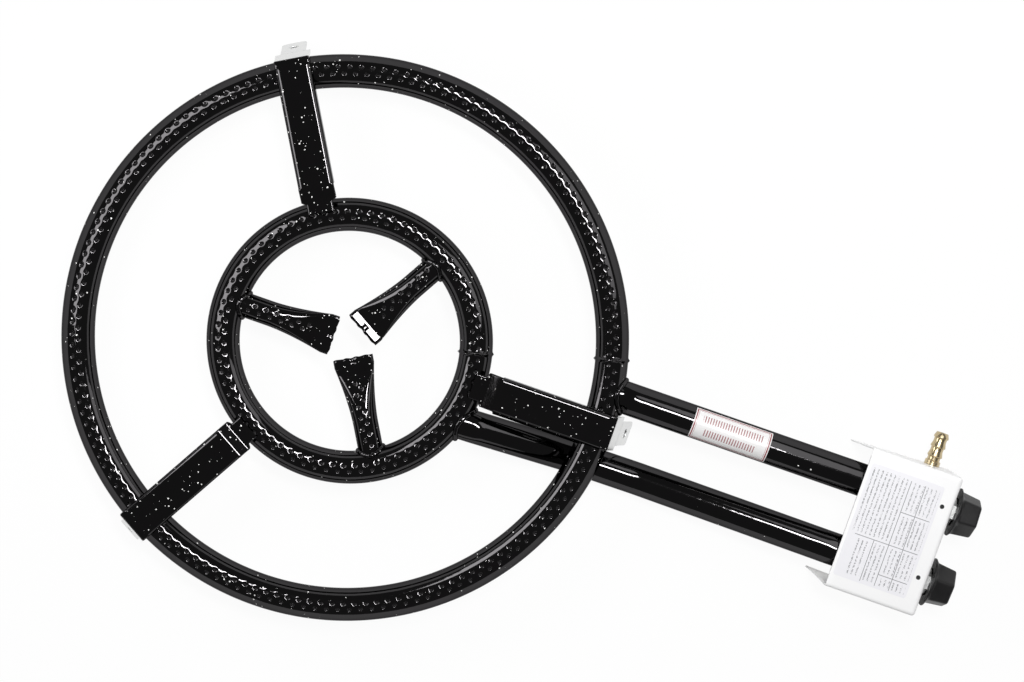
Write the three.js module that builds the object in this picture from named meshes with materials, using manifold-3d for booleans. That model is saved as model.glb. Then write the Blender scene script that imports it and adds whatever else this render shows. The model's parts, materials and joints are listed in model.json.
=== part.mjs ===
// Two-ring gas burner for paella pans, with its taps, control box and leg brackets.
// Millimetres, +Z up. The model is drawn about the centre of the outer ring, with the feed
// tubes along +X, and then set on its rest plane below the middle of its length.

import * as THREE from 'three';
import { mergeVertices } from 'three/addons/utils/BufferGeometryUtils.js';
import Module from 'manifold-3d';

const wasm = await Module();
wasm.setup();

// Fits
const seatGap = 0.3; // between pieces that are welded, seated or clamped together
const runningGap = 0.3; // around what turns or slides
const cutOverrun = 4; // how far a cutting solid runs past what it cuts
const joinOverlap = 1; // how far a solid runs into the one that it is joined to

// Rings and feed tubes
const tubeDiameter = 23.5;
const tubeWall = 2;
const outerRingDiameter = 400; // over the tube
const innerRingDiameter = 202;
const innerRingShift = 3.5; // of its centre towards the control box
const ringHeight = 37.5; // from the rest plane to the tubes' centre line
const feedSpacing = 52.6; // between the two feed tubes
const feedEnd = 389; // mouth of the feed tubes, from the ring centre
const beadRadius = 1.3; // butt weld of each ring
const outerBeadAngle = 15;
const innerBeadAngle = 14;

// Punched dimples of the flame ports, in two staggered rows beside each crown
const portPitch = 8; // along a row
const portWidth = 3.6; // over the corners, at the surface
const portDepth = 1.2;
const portRowGap = 4.6; // between the rows of a ring
const spokePortRowGap = 3.9;
const spokePortStart = 12.6; // first port of an arm, from its lip
const spokePortEnd = 15; // last port of an arm at most, from the inner ring's centre line
const portLagShares = [0.25, 0.75]; // where the outer and the inner row start, of the pitch

// Dip of the inner feed tube below the outer ring
const dipRingLength = 14; // level stretch at the inner ring, to the corner of its bend
const dipMouthLength = 16.4; // level stretch at the box
const dipLead = 10.2; // from the lower corner on the ring side to the crossing
const dipTrail = 41; // from the crossing to the lower corner on the box side
const dipBendRadius = 40; // on the ring side
const dipOuterBendRadius = 48; // on the box side
const dipClearance = 0.8; // between the two tubes where they cross
const feedSplay = 0.45; // by which the inner feed tube turns away from the outer one, about its mouth

// Centre burner arms
const spokeDiameter = 17.8;
const spokeWall = 1.5;
const spokeBoreLeast = 0.8; // height of the bore where the arm is pressed flat
const spokeTipWidth = 28.5;
const spokeLipThickness = 3.6;
const spokeLipLength = 5.7;
const spokeFlareLength = 42;
const spokeFlarePower = 1.7; // how late the flare opens
const spokeTipRadius = 11.7; // from the inner ring's centre to the tips

// Pan supports
const supportWidth = 25;
const supportRise = 4.75; // top of the support above the ring
const supportSheet = 1.8;
const supportDepth = 10; // side walls of the channel
const supportBend = 1.2; // inside radius of its long bends
const supportLap = 9; // of the tongue past the inner ring's outer edge
const supportTongueWidth = 18.6;
const supportSlopeRun = 5.7;
const supportSlopeStart = 1.2; // from the ring's outer edge to the foot of the slope
const supportWallInset = 2; // of the side walls from each end of the level web
const supportCurl = 40;
const supportShift = 2.3; // from the outer ring's centre to where the side supports' axes meet

// Leg brackets
const bracketSheet = 1.5;
const bracketWidth = 25;
const bracketTabWidth = 18;
const bracketTabCorner = 3.5;
const bracketWideHeight = 20; // of the full-width part, below the support
const bracketLean = 16.5;
const bracketBend = 1.5;
const bracketFlangeLength = 39;
const bracketHole = 7;
const bracketHoleHeight = 13; // above the rest plane
const studDiameter = 5;
const studFit = 0.3; // clearance of the hole and the nut around the stud
const studInset = 12; // from the flange's inner end
const studLength = 10.5;
const studNutFlats = 8;
const studNutHeight = 4;

// Control box cover
const boxLength = 65.7; // of the top plate
const boxLap = 13.7; // of the top plate over the feed tubes' ends
const boxWidth = 103;
const boxTop = 15; // above the tubes' centre line
const boxSheet = 1.2;
const boxBend = 1; // inside radius
const boxSlant = 9.4; // of the side walls' ring-side edges

// Chassis plate below the feed tubes
const chassisLap = 10; // under the feed tubes' ends
const chassisSideGap = 7.5; // to the cover's outside
const chassisSheet = 2;
const chassisBend = 1;

// Gas manifold
const manifoldSetback = 17.5; // of its axis behind the front face
const manifoldDrop = 24; // of its axis below the taps
const manifoldDiameter = 16;
const manifoldBore = 10;
const manifoldEndInset = 7.5; // of its closed end from the cover's outside
const manifoldMouthInset = 6;
const bossDiameter = 14;
const bossRise = 9.4; // above the manifold's axis
const plugHexFlats = 13;
const plugHexHeight = 4;
const threadLength = 8;

// Hose nozzle
const nozzleReach = 24; // beyond the side wall
const nozzleCollarDiameter = 11.2;
const nozzleCollarLength = 3.2;
const nozzleBarbDiameter = 11;
const nozzleNeckDiameter = 9.2;
const nozzleTipDiameter = 8.6;
const nozzleBore = 5;
const nozzleBarbs = 3;
const nozzleStepShare = 0.4; // of each barb's length before its step
const nozzleHexFlats = 14;

// Taps, along X
const tapNeckDiameter = 12;
const tapBodyDiameter = 19;
const tapRearNeckLength = 7;
const tapBodyLength = 35.5;
const tapPassage = 4;
const tapInletDiameter = 8.2;
const tapInletBore = 3.2;
const tapInletDepth = 19.5;
const bonnetFlange = 2.4;
const bonnetReach = 6.5; // beyond the front wall
const bonnetWall = 1.2;
const bonnetCap = 1.5;
const plugRearDiameter = 8;
const plugFrontDiameter = 10.2;
const plugLength = 19;
const plugFrontReach = 8.2; // of its front beyond the inlet
const plugFlameBore = 2.8;
const plugSimmerBore = 1.4;
const plugSlotWidth = 2.6;
const plugSlotSpan = 7;
const plugSlotDepth = 5.1;
const tongueThickness = 2;
const tongueWidth = 6.3;
const tongueEngagement = 1.5;
const spindleDiameter = 6;
const spindleFlat = 2.2; // from the axis to the flat under the knob
const stemDiameter = 5.2;
const collarDiameter = 8.8;
const collarThickness = 1.7;
const springWire = 0.9;
const springTurns = 4;
const pressTravel = 3;
const tapNutFlats = 16;
const tapNutHeight = 3;

// Injectors
const injectorHexFlats = 9;
const injectorHexHeight = 3;
const injectorThread = 6.6;
const injectorNose = 4.5;
const injectorTipDiameter = 4.4;
const injectorBore = 3.2;
const injectorOrifice = 0.9;

// Knobs
const knobGap = 4; // between the front wall and the skirt
const knobSkirtDiameter = 35;
const knobRim = 1;
const knobSkirtRise = 3.4;
const knobGripDiameter = 29; // over the corners of the six-sided grip
const knobGripDraft = 0.9; // how much narrower the grip is at its end
const knobLength = 17.5;
const knobEndBevel = 0.9;
const knobCornerCut = 0.45; // of the grip's corners, so that they are blunt
const knobCavityDiameter = 20.6;
const knobCavityDepth = 6.3;
const knobFace = 3.4; // wall in front of the spindle
const knobFlatTurn = 13; // of each grip towards the outside

// Facets: sides of a full circle, and steps along it
const ringSides = 12;
const outerPortsPerSection = 2; // ports of a row between two sections of a ring
const innerPortsPerSection = 2;
const portSides = 3;
const boreSides = 8;
const outerBoreShare = 0.5; // sections of the outer ring's bore, of the ring's own
const feedSides = 12;
const bendSteps = 3;
const spokeSides = 16;
const spokeSteps = 7;
const turnedSides = 12;
const knobSides = 24;
const smallSides = 10;
const springSides = 5;
const springStepsPerTurn = 6;

// What the sizes give
const degree = Math.PI / 180;
const tubeRadius = tubeDiameter / 2;
const outerRingRadius = outerRingDiameter / 2 - tubeRadius;
const innerRingRadius = innerRingDiameter / 2 - tubeRadius;
const portsInRow = (radius) => 2 * Math.round(Math.PI * radius / portPitch);
const outerRingSections = portsInRow(outerRingRadius) / outerPortsPerSection;
const outerBoreSections = outerRingSections * outerBoreShare;
const innerRingSections = portsInRow(innerRingRadius) / innerPortsPerSection;
const tapPlaces = [feedSpacing / 2, -feedSpacing / 2];
const supportAngles = [0, 120, -120];
const spokeAngles = [60, 180, -60];
const supportTop = tubeRadius + supportRise;
const boxFloor = -ringHeight;
const boxStart = feedEnd - boxLap; // ring side of the top plate
const boxFront = boxStart + boxLength; // outer face of the front wall
const boxInside = boxTop - boxSheet;
const manifoldX = boxFront - manifoldSetback;
const frontInside = boxFront - boxSheet;
const chassisFlangeFace = frontInside - seatGap;
const chassisFlangeBack = chassisFlangeFace - chassisSheet;
const chassisTop = -tubeRadius - seatGap;
const chassisStart = feedEnd - chassisLap;
const chassisWidth = boxWidth - 2 * chassisSideGap;
const manifoldEnd = boxWidth / 2 - manifoldEndInset;
const manifoldMouth = boxWidth / 2 - manifoldMouthInset;

const unitX = new THREE.Vector3(1, 0, 0);
const unitY = new THREE.Vector3(0, 1, 0);
const unitZ = new THREE.Vector3(0, 0, 1);

const finishes = {
  enamel: { color: 0x0b0b0d, roughness: 0.12, metalness: 0 },
  zinc: { color: 0xb9bcc0, roughness: 0.35, metalness: 1 },
  whitePaint: { color: 0xf2f2f0, roughness: 0.35, metalness: 0 },
  brass: { color: 0xb08d4a, roughness: 0.25, metalness: 1 },
  steel: { color: 0x9a9da1, roughness: 0.3, metalness: 1 },
  blackPlastic: { color: 0x1a191b, roughness: 0.45, metalness: 0 },
};

// A closed geometry made a solid: shared corners joined, faces of no area dropped, faces out.
function solid(geometry) {
  const shell = geometry.clone();
  shell.deleteAttribute('normal');
  shell.deleteAttribute('uv');
  const joined = mergeVertices(shell);
  const corners = joined.index.array;
  const places = joined.attributes.position;
  const faces = [];
  for (let i = 0; i < corners.length; i += 3) {
    const [a, b, c] = corners.slice(i, i + 3);
    if (a !== b && b !== c && c !== a) faces.push(a, b, c);
  }
  if (signedVolume(places, faces) < 0) faces.reverse();
  return new wasm.Manifold(new wasm.Mesh({
    numProp: 3,
    vertProperties: Float32Array.from(places.array),
    triVerts: Uint32Array.from(faces),
  }));
}

function signedVolume(places, faces) {
  const [a, b, c] = [new THREE.Vector3(), new THREE.Vector3(), new THREE.Vector3()];
  let volume = 0;
  for (let i = 0; i < faces.length; i += 3) {
    a.fromBufferAttribute(places, faces[i]);
    b.fromBufferAttribute(places, faces[i + 1]);
    c.fromBufferAttribute(places, faces[i + 2]);
    volume += a.dot(b.cross(c)) / 6;
  }
  return volume;
}

function joined(...bodies) {
  return bodies.reduce((sum, body) => sum.add(body));
}

function cut(body, ...tools) {
  return tools.reduce((rest, tool) => rest.subtract(tool), body);
}

function geometryOf(body) {
  const mesh = body.getMesh();
  const geometry = new THREE.BufferGeometry();
  geometry.setAttribute('position', new THREE.BufferAttribute(mesh.vertProperties, 3));
  geometry.setIndex(new THREE.BufferAttribute(mesh.triVerts, 1));
  geometry.computeVertexNormals();
  return geometry;
}

function piece(name, body, finish) {
  const mesh = new THREE.Mesh(geometryOf(body), new THREE.MeshStandardMaterial(finish));
  mesh.name = name;
  return mesh;
}

// Turns that lay a geometry drawn along Y or Z along another axis
const alongX = (geometry) => geometry.rotateZ(-90 * degree);
const alongZ = (geometry) => geometry.rotateX(90 * degree);
const acrossX = (geometry) => (
  geometry.applyMatrix4(new THREE.Matrix4().makeBasis(unitY, unitZ, unitX)));

// A closed profile of [radius, place] pairs, turned about the Y axis
function turned(profile, sides = turnedSides) {
  const points = [...profile, profile[0]].map(([radius, place]) => new THREE.Vector2(radius, place));
  return new THREE.LatheGeometry(points, sides);
}

// A round bar along Y, from one place to another
function bar(radius, from, to, sides = turnedSides) {
  const length = to - from;
  return new THREE.CylinderGeometry(radius, radius, length, sides).translate(0, from + length / 2, 0);
}

function block(x, y, z) {
  const size = [x, y, z].map(([low, high]) => high - low);
  const middle = [x, y, z].map(([low, high]) => (low + high) / 2);
  return solid(new THREE.BoxGeometry(...size).translate(...middle));
}

// A six-sided prism along Y with a round bore
function hexagon(flats, bore, from, to) {
  const outline = new THREE.Shape();
  const corner = flats / 2 / Math.cos(30 * degree);
  for (let i = 0; i < 6; i += 1) {
    const turn = i * 60 * degree;
    const point = [corner * Math.cos(turn), corner * Math.sin(turn)];
    if (i === 0) outline.moveTo(...point);
    else outline.lineTo(...point);
  }
  outline.closePath();
  if (bore > 0) outline.holes.push(new THREE.Path().absarc(0, 0, bore / 2, 0, 2 * Math.PI, true));
  const flat = { depth: to - from, bevelEnabled: false, curveSegments: smallSides / 2 };
  return new THREE.ExtrudeGeometry(outline, flat).rotateX(-90 * degree).translate(0, from, 0);
}

// The points and sideways directions of a line whose corners are rounded to their radii
function roundedLine(corners, radii) {
  const line = [];
  const side = (along) => new THREE.Vector2(-along.y, along.x);
  const heading = (a, b) => b.clone().sub(a).normalize();
  const pivot = new THREE.Vector2();
  corners.forEach((corner, i) => {
    const before = i > 0 ? heading(corners[i - 1], corner) : null;
    const after = i < corners.length - 1 ? heading(corner, corners[i + 1]) : null;
    if (!before || !after) {
      line.push({ point: corner, side: side(before || after) });
      return;
    }
    const radius = radii[i - 1];
    const turn = Math.atan2(before.cross(after), before.dot(after));
    const reach = radius * Math.tan(Math.abs(turn) / 2);
    const towards = side(before).multiplyScalar(Math.sign(turn) * radius);
    const centre = corner.clone().addScaledVector(before, -reach).add(towards);
    for (let step = 0; step <= bendSteps; step += 1) {
      const angle = turn * step / bendSteps;
      line.push({
        point: towards.clone().negate().rotateAround(pivot, angle).add(centre),
        side: side(before).rotateAround(pivot, angle),
      });
    }
  });
  return line;
}

const toPoint = ([x, y]) => new THREE.Vector2(x, y);

// The section of a folded sheet whose middle follows the corners, each with its inside radius
function sheetSection(corners, thickness, insideRadii) {
  const radii = insideRadii.map((radius) => radius + thickness / 2);
  const line = roundedLine(corners.map(toPoint), radii);
  const face = (offset) => line.map(({ point, side }) => point.clone().addScaledVector(side, offset));
  return new THREE.Shape([...face(thickness / 2), ...face(-thickness / 2).reverse()]);
}

function extruded(shape, depth) {
  return new THREE.ExtrudeGeometry(shape, { depth, bevelEnabled: false, curveSegments: bendSteps / 2 });
}

// A side view in X and Z, carried across Y
function across(shape, width) {
  return solid(extruded(shape, width).translate(0, 0, -width / 2).rotateX(90 * degree));
}

// A front view in Y and Z, carried along X
function lengthwise(shape, from, to) {
  return solid(acrossX(extruded(shape, to - from)).translate(from, 0, 0));
}

// The space that a ring fills, with a margin around it
function ringSpace(radius, sections, margin, shift) {
  const torus = new THREE.TorusGeometry(radius, tubeRadius + margin, ringSides, sections);
  return solid(torus.translate(shift, 0, 0));
}

const outerRingSpace = (margin) => ringSpace(outerRingRadius, outerRingSections, margin, 0);
const innerRingSpace = (margin) => ringSpace(innerRingRadius, innerRingSections, margin, innerRingShift);

// Place along X where a feed tube's axis meets a ring's centre line
const feedMeets = (radius, shift) => shift + Math.sqrt(radius ** 2 - (feedSpacing / 2) ** 2);

// The punch of a flame port: a cone that points down, drawn for a surface at a height
function portPunch(surface) {
  const reach = portDepth + cutOverrun;
  const punch = new THREE.ConeGeometry(portWidth / 2 * reach / portDepth, reach, portSides);
  return alongZ(punch.rotateX(180 * degree).translate(0, surface - portDepth + reach / 2, 0));
}

// The punches of a ring's two rows, left out where they would meet the butt weld
function ringPunches(radius, shift, beadAngle) {
  const count = portsInRow(radius);
  const lean = portRowGap / 2 / tubeRadius;
  const halfFacet = Math.PI / ringSides;
  const surface = tubeRadius * Math.cos(halfFacet) / Math.cos(halfFacet - lean);
  const clear = (beadRadius + portWidth) / radius;
  const punches = [];
  portLagShares.forEach((lag, row) => {
    for (let i = 0; i < count; i += 1) {
      const angle = (i + lag) / count * 2 * Math.PI;
      const punch = portPunch(surface).rotateY(row === 0 ? lean : -lean).translate(radius, 0, 0);
      punch.rotateZ(angle).translate(shift, 0, 0);
      if (Math.abs(angle - beadAngle * degree) > clear) punches.push(solid(punch));
    }
  });
  return punches;
}

// A burner ring: a bent tube with its bore and butt weld, open where the other tubes join it
function ring(radius, [sections, boreSections], shift, beadAngle, openings) {
  const bore = new THREE.TorusGeometry(radius, tubeRadius - tubeWall, boreSides, boreSections);
  const bead = new THREE.TorusGeometry(tubeRadius, beadRadius, boreSides, ringSides);
  bead.rotateX(90 * degree).translate(radius, 0, 0).rotateZ(beadAngle * degree);
  const tube = joined(ringSpace(radius, sections, 0, shift), solid(bead.translate(shift, 0, 0)));
  return cut(tube, solid(bore.translate(shift, 0, 0)), ...openings, ...ringPunches(radius, shift, beadAngle));
}

// Turned about the mouth of a feed tube and moved to its place
function splayed(geometry, place, splay) {
  return geometry.translate(-feedEnd, 0, 0).rotateZ(splay * degree).translate(feedEnd, place, 0);
}

function feedOpening(place, splay, radius, shift) {
  const from = feedMeets(radius, shift);
  const hole = alongX(bar(tubeRadius - tubeWall, from, from + tubeDiameter, feedSides));
  return solid(splayed(hole, place, splay));
}

function spokeOpening(angle) {
  const bore = spokeDiameter / 2 - spokeWall;
  const hole = alongX(bar(bore, innerRingRadius - tubeDiameter, innerRingRadius, spokeSides));
  return solid(hole.rotateZ(angle * degree).translate(innerRingShift, 0, 0));
}

function outerRing() {
  const openings = [feedOpening(tapPlaces[0], 0, outerRingRadius, 0)];
  return ring(outerRingRadius, [outerRingSections, outerBoreSections], 0, outerBeadAngle, openings);
}

function innerRing() {
  const feed = feedOpening(tapPlaces[1], feedSplay, innerRingRadius, innerRingShift);
  const openings = [feed, ...spokeAngles.map(spokeOpening)];
  const sections = [innerRingSections, innerRingSections];
  return ring(innerRingRadius, sections, innerRingShift, innerBeadAngle, openings);
}

// The route of a tube, with the stations that its extrusion stops at
class TubeRoute extends THREE.Curve {
  constructor(stations) {
    super();
    this.stations = stations;
  }

  getPoint(share, target = new THREE.Vector3()) {
    const last = this.stations.length - 1;
    const place = THREE.MathUtils.clamp(share, 0, 1) * last;
    const before = Math.min(Math.floor(place), last - 1);
    return target.lerpVectors(this.stations[before], this.stations[before + 1], place - before);
  }

  getUtoTmapping(share) {
    return share;
  }
}

// A feed tube with its bore along a line of corners in X and Z
function feedTube(corners, radii, place, splay) {
  const line = roundedLine(corners.map(toPoint), radii);
  const stations = line.map(({ point }) => new THREE.Vector3(point.x, 0, point.y));
  const section = new THREE.Shape().absarc(0, 0, tubeRadius, 0, 2 * Math.PI);
  section.holes.push(new THREE.Path().absarc(0, 0, tubeRadius - tubeWall, 0, 2 * Math.PI, true));
  const tube = new THREE.ExtrudeGeometry(section, {
    steps: stations.length - 1,
    curveSegments: feedSides / 2,
    extrudePath: new TubeRoute(stations),
  });
  return solid(splayed(tube, place, splay));
}

function outerFeedTube() {
  const tube = feedTube([[feedMeets(outerRingRadius, 0), 0], [feedEnd, 0]], [], tapPlaces[0], 0);
  return cut(tube, outerRingSpace(seatGap));
}

function innerFeedTube() {
  const drop = tubeDiameter + dipClearance;
  const under = feedMeets(outerRingRadius, 0);
  const start = feedMeets(innerRingRadius, innerRingShift);
  const corners = [
    [start, 0], [start + dipRingLength, 0], [under - dipLead, -drop],
    [under + dipTrail, -drop], [feedEnd - dipMouthLength, 0], [feedEnd, 0],
  ];
  const radii = [dipBendRadius, dipBendRadius, dipOuterBendRadius, dipOuterBendRadius];
  return cut(feedTube(corners, radii, tapPlaces[1], feedSplay), innerRingSpace(seatGap));
}

// Half the width and half the height of a centre arm at a distance from the ring's centre. The
// tube keeps its girth as it is pressed flat, down to the lip where its walls meet
function spokeHalves(distance, inset) {
  const lipStart = spokeTipRadius + spokeLipLength;
  const flare = THREE.MathUtils.clamp((lipStart + spokeFlareLength - distance) / spokeFlareLength, 0, 1);
  const width = THREE.MathUtils.lerp(spokeDiameter, spokeTipWidth, flare ** spokeFlarePower);
  const pressed = (Math.PI * spokeDiameter - 2 * width) / (Math.PI - 2);
  const height = Math.max(pressed, spokeLipThickness);
  return [width / 2 - inset, Math.max(height / 2 - inset, spokeBoreLeast / 2)];
}

// A unit tube, spread along the arm and pressed to its width and height all the way
function spokeForm(from, to, inset, steps) {
  const unit = new THREE.CylinderGeometry(1, 1, 1, spokeSides, steps);
  const places = unit.attributes.position;
  for (let i = 0; i < places.count; i += 1) {
    const distance = THREE.MathUtils.lerp(from, to, places.getY(i) + 1 / 2);
    const [halfWidth, halfHeight] = spokeHalves(distance, inset);
    const sideways = places.getX(i);
    const spread = Math.sign(sideways) * Math.min(1, Math.abs(sideways) * Math.SQRT2);
    const y = halfHeight * sideways + (halfWidth - halfHeight) * spread;
    places.setXYZ(i, distance, y, halfHeight * places.getZ(i));
  }
  return solid(unit);
}

// The punches of an arm's two rows, the second half a pitch after the first
function spokePunches(from) {
  const punches = [];
  portLagShares.forEach((lag, row) => {
    const side = (row - 1 / 2) * spokePortRowGap;
    const first = from + (lag - portLagShares[0]) * portPitch;
    for (let place = first; place < innerRingRadius - spokePortEnd; place += portPitch) {
      punches.push(solid(portPunch(spokeHalves(place, 0)[1]).translate(place, side, 0)));
    }
  });
  return punches;
}

function spoke() {
  const lipStart = spokeTipRadius + spokeLipLength;
  const lip = spokeForm(spokeTipRadius, lipStart, 0, 1);
  const outside = joined(lip, spokeForm(lipStart, innerRingRadius, 0, spokeSteps));
  const inside = spokeForm(lipStart + spokeWall, innerRingRadius + cutOverrun, spokeWall, spokeSteps);
  const ringFit = ringSpace(innerRingRadius, innerRingSections, seatGap, 0);
  return cut(outside, inside, ringFit, ...spokePunches(lipStart + spokePortStart));
}

// How far the axis of a pan support passes the outer ring's centre
const supportAside = (angle) => -supportShift * Math.sin(angle * degree);

// Where the inner ring's outer edge lies on the axis of a pan support
function innerEdge(angle) {
  const along = innerRingShift * Math.cos(angle * degree);
  const aside = innerRingShift * Math.sin(angle * degree) + supportAside(angle);
  return along + Math.sqrt((innerRingDiameter / 2) ** 2 - aside ** 2);
}

// The leaning plate of a leg bracket, clear of the ring: its middle line at a height
function bracketLine(z) {
  const lean = bracketLean * degree;
  const foot = outerRingRadius + (tubeRadius + seatGap + bracketSheet / 2) / Math.cos(lean);
  return foot - z * Math.tan(lean);
}

const bracketFlangeMiddle = supportTop - supportSheet - seatGap - bracketSheet / 2;

// Centre of the bend of a leg bracket, which the end of the pan support curls around
function bracketBendCentre() {
  const radius = bracketBend + bracketSheet / 2;
  const z = bracketFlangeMiddle - radius;
  return [bracketLine(z) - radius / Math.cos(bracketLean * degree), z];
}

const bracketStart = bracketBendCentre()[0] - bracketFlangeLength;
const studPlace = bracketStart + studInset;

// A pan support: a channel whose web ends in a curl outside and in a slope and a tongue inside
function panSupport(angle) {
  const middle = supportTop - supportSheet / 2;
  const tongue = tubeRadius + seatGap + supportSheet / 2;
  const tongueEnd = innerEdge(angle) - supportLap;
  const foot = innerEdge(angle) + supportSlopeStart;
  const fold = foot + supportSlopeRun;
  const [curlPlace, curlHeight] = bracketBendCentre();
  const curlRadius = middle - curlHeight;
  const curl = supportCurl * degree;
  const reach = curlRadius * Math.tan(curl / 2);
  const corner = curlPlace + reach;
  const end = [corner + reach * Math.cos(curl), middle - reach * Math.sin(curl)];
  const line = [[tongueEnd, tongue], [foot, tongue], [fold, middle], [corner, middle], end];
  const bends = [supportBend, supportBend, curlRadius - supportSheet / 2];
  const web = across(sheetSection(line, supportSheet, bends), supportWidth);

  const walls = [fold + supportWallInset, curlPlace - supportWallInset];
  const wall = supportWidth / 2 - supportSheet / 2;
  const bottom = supportTop - supportDepth;
  const section = [[-wall, bottom], [-wall, middle], [wall, middle], [wall, bottom]];
  const channel = lengthwise(sheetSection(section, supportSheet, [supportBend, supportBend]), ...walls);
  const between = [walls[0] + supportSheet, walls[1] - supportSheet];
  const webPart = block(between, [-supportWidth, supportWidth], [bottom, supportTop + cutOverrun]);

  const tongueSpan = [tongueEnd - cutOverrun, foot];
  const fullWidth = block(tongueSpan, [-supportWidth, supportWidth], [bottom, middle]);
  const tongueWidth = [-supportTongueWidth / 2, supportTongueWidth / 2];
  const besideTongue = cut(fullWidth, block(tongueSpan, tongueWidth, [bottom, middle]));

  const stud = alongZ(bar(studDiameter / 2, middle - studLength, middle, smallSides));
  const ends = cut(web, webPart, besideTongue);
  const support = joined(ends, channel, solid(stud.translate(studPlace, 0, 0)));
  return cut(support, outerRingSpace(seatGap).translate(0, -supportAside(angle), 0));
}

// Front view of a leg bracket: a flange inside the channel, full width below it, then the tab
function bracketOutline() {
  const flange = supportWidth / 2 - supportSheet - supportBend;
  const shoulder = bracketFlangeMiddle - bracketSheet;
  const step = shoulder - bracketWideHeight;
  const tab = bracketTabWidth / 2;
  const round = tab - bracketTabCorner;
  const outline = new THREE.Shape();
  outline.moveTo(-flange, supportTop + cutOverrun);
  outline.lineTo(-flange, shoulder);
  outline.lineTo(-bracketWidth / 2, shoulder);
  outline.lineTo(-bracketWidth / 2, step);
  outline.lineTo(-tab, step);
  outline.absarc(-round, boxFloor + bracketTabCorner, bracketTabCorner, Math.PI, 1.5 * Math.PI);
  outline.absarc(round, boxFloor + bracketTabCorner, bracketTabCorner, 1.5 * Math.PI, 2 * Math.PI);
  outline.lineTo(tab, step);
  outline.lineTo(bracketWidth / 2, step);
  outline.lineTo(bracketWidth / 2, shoulder);
  outline.lineTo(flange, shoulder);
  outline.lineTo(flange, supportTop + cutOverrun);
  return outline;
}

function legBracket() {
  const below = boxFloor - cutOverrun;
  const line = [
    [bracketStart, bracketFlangeMiddle],
    [bracketLine(bracketFlangeMiddle), bracketFlangeMiddle],
    [bracketLine(below), below],
  ];
  const plate = across(sheetSection(line, bracketSheet, [bracketBend]), bracketWidth);
  const front = lengthwise(bracketOutline(), bracketStart - cutOverrun, bracketLine(below) + cutOverrun);
  const holeHeight = boxFloor + bracketHoleHeight;
  const legHole = alongX(bar(bracketHole / 2, -cutOverrun, cutOverrun, smallSides));
  legHole.rotateY(-bracketLean * degree).translate(bracketLine(holeHeight), 0, holeHeight);
  const studHole = alongZ(bar(studDiameter / 2 + studFit, 0, supportTop, smallSides));
  return cut(plate.intersect(front), solid(legHole), solid(studHole.translate(studPlace, 0, 0)));
}

function bracketNut() {
  const top = bracketFlangeMiddle - bracketSheet / 2 - seatGap;
  const nut = hexagon(studNutFlats, studDiameter + 2 * studFit, top - studNutHeight, top);
  return solid(alongZ(nut).translate(studPlace, 0, 0));
}

// The chassis: a plate welded below the feed tubes' ends, with a front flange for the taps
function chassis() {
  const plate = chassisTop - chassisSheet / 2;
  const flange = chassisFlangeBack + chassisSheet / 2;
  const line = [[chassisStart, plate], [flange, plate], [flange, boxInside - seatGap]];
  const sheet = across(sheetSection(line, chassisSheet, [chassisBend]), chassisWidth);
  const holes = tapPlaces.flatMap((place) => [
    alongX(bar(tapNeckDiameter / 2 + seatGap, manifoldX, boxFront)).translate(0, place, 0),
    alongZ(bar(tapInletDiameter / 2 + seatGap, -manifoldDrop, 0)).translate(manifoldX, place, 0),
  ]);
  return cut(sheet, ...holes.map(solid));
}

// The cover: a channel for the top and side walls and a front wall, with slanted rear edges
function boxCover() {
  const wall = boxWidth / 2 - boxSheet / 2;
  const top = boxTop - boxSheet / 2;
  const line = [[-wall, boxFloor], [-wall, top], [wall, top], [wall, boxFloor]];
  const rear = boxStart - boxSlant;
  const channel = lengthwise(sheetSection(line, boxSheet, [boxBend, boxBend]), rear, boxFront);
  const round = boxBend + boxSheet;
  const corner = boxWidth / 2 - round;
  const face = new THREE.Shape();
  face.moveTo(-boxWidth / 2, boxFloor);
  face.lineTo(boxWidth / 2, boxFloor);
  face.absarc(corner, boxTop - round, round, 0, Math.PI / 2);
  face.absarc(-corner, boxTop - round, round, Math.PI / 2, Math.PI);
  const front = lengthwise(face, frontInside, boxFront);
  const view = new THREE.Shape();
  view.moveTo(rear, boxFloor);
  view.lineTo(boxFront, boxFloor);
  view.absarc(boxFront - round, boxTop - round, round, 0, Math.PI / 2);
  view.lineTo(boxStart, boxTop);
  const neckHoles = tapPlaces.map((place) => (
    alongX(bar(tapNeckDiameter / 2 + seatGap, manifoldX, boxFront + cutOverrun)).translate(0, place, 0)));
  const nozzleHole = bar(nozzleCollarDiameter / 2 + seatGap, 0, boxWidth);
  nozzleHole.translate(manifoldX, 0, -manifoldDrop);
  const folded = joined(channel, front).intersect(across(view, boxWidth + cutOverrun));
  return cut(folded, ...[...neckHoles, nozzleHole].map(solid));
}

const onManifold = (geometry) => solid(geometry.translate(manifoldX, 0, -manifoldDrop));

// The manifold: a bar along Y, bored through, with a boss up to each tap's inlet
function manifold() {
  const bosses = tapPlaces.map((place) => (
    onManifold(alongZ(bar(bossDiameter / 2, 0, bossRise)).translate(0, place, 0))));
  const bossBores = tapPlaces.map((place) => (
    onManifold(alongZ(bar(tapInletDiameter / 2 + seatGap, 0, manifoldDrop)).translate(0, place, 0))));
  const tube = onManifold(bar(manifoldDiameter / 2, -manifoldEnd, manifoldMouth));
  const bore = onManifold(bar(manifoldBore / 2, -manifoldEnd - cutOverrun, manifoldMouth + cutOverrun));
  return cut(joined(tube, ...bosses), bore, ...bossBores);
}

function manifoldPlug() {
  const face = -manifoldEnd - seatGap;
  const thread = bar(manifoldBore / 2 - seatGap, face - joinOverlap, -manifoldEnd + threadLength);
  return joined(onManifold(thread), onManifold(hexagon(plugHexFlats, 0, face - plugHexHeight, face)));
}

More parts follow.
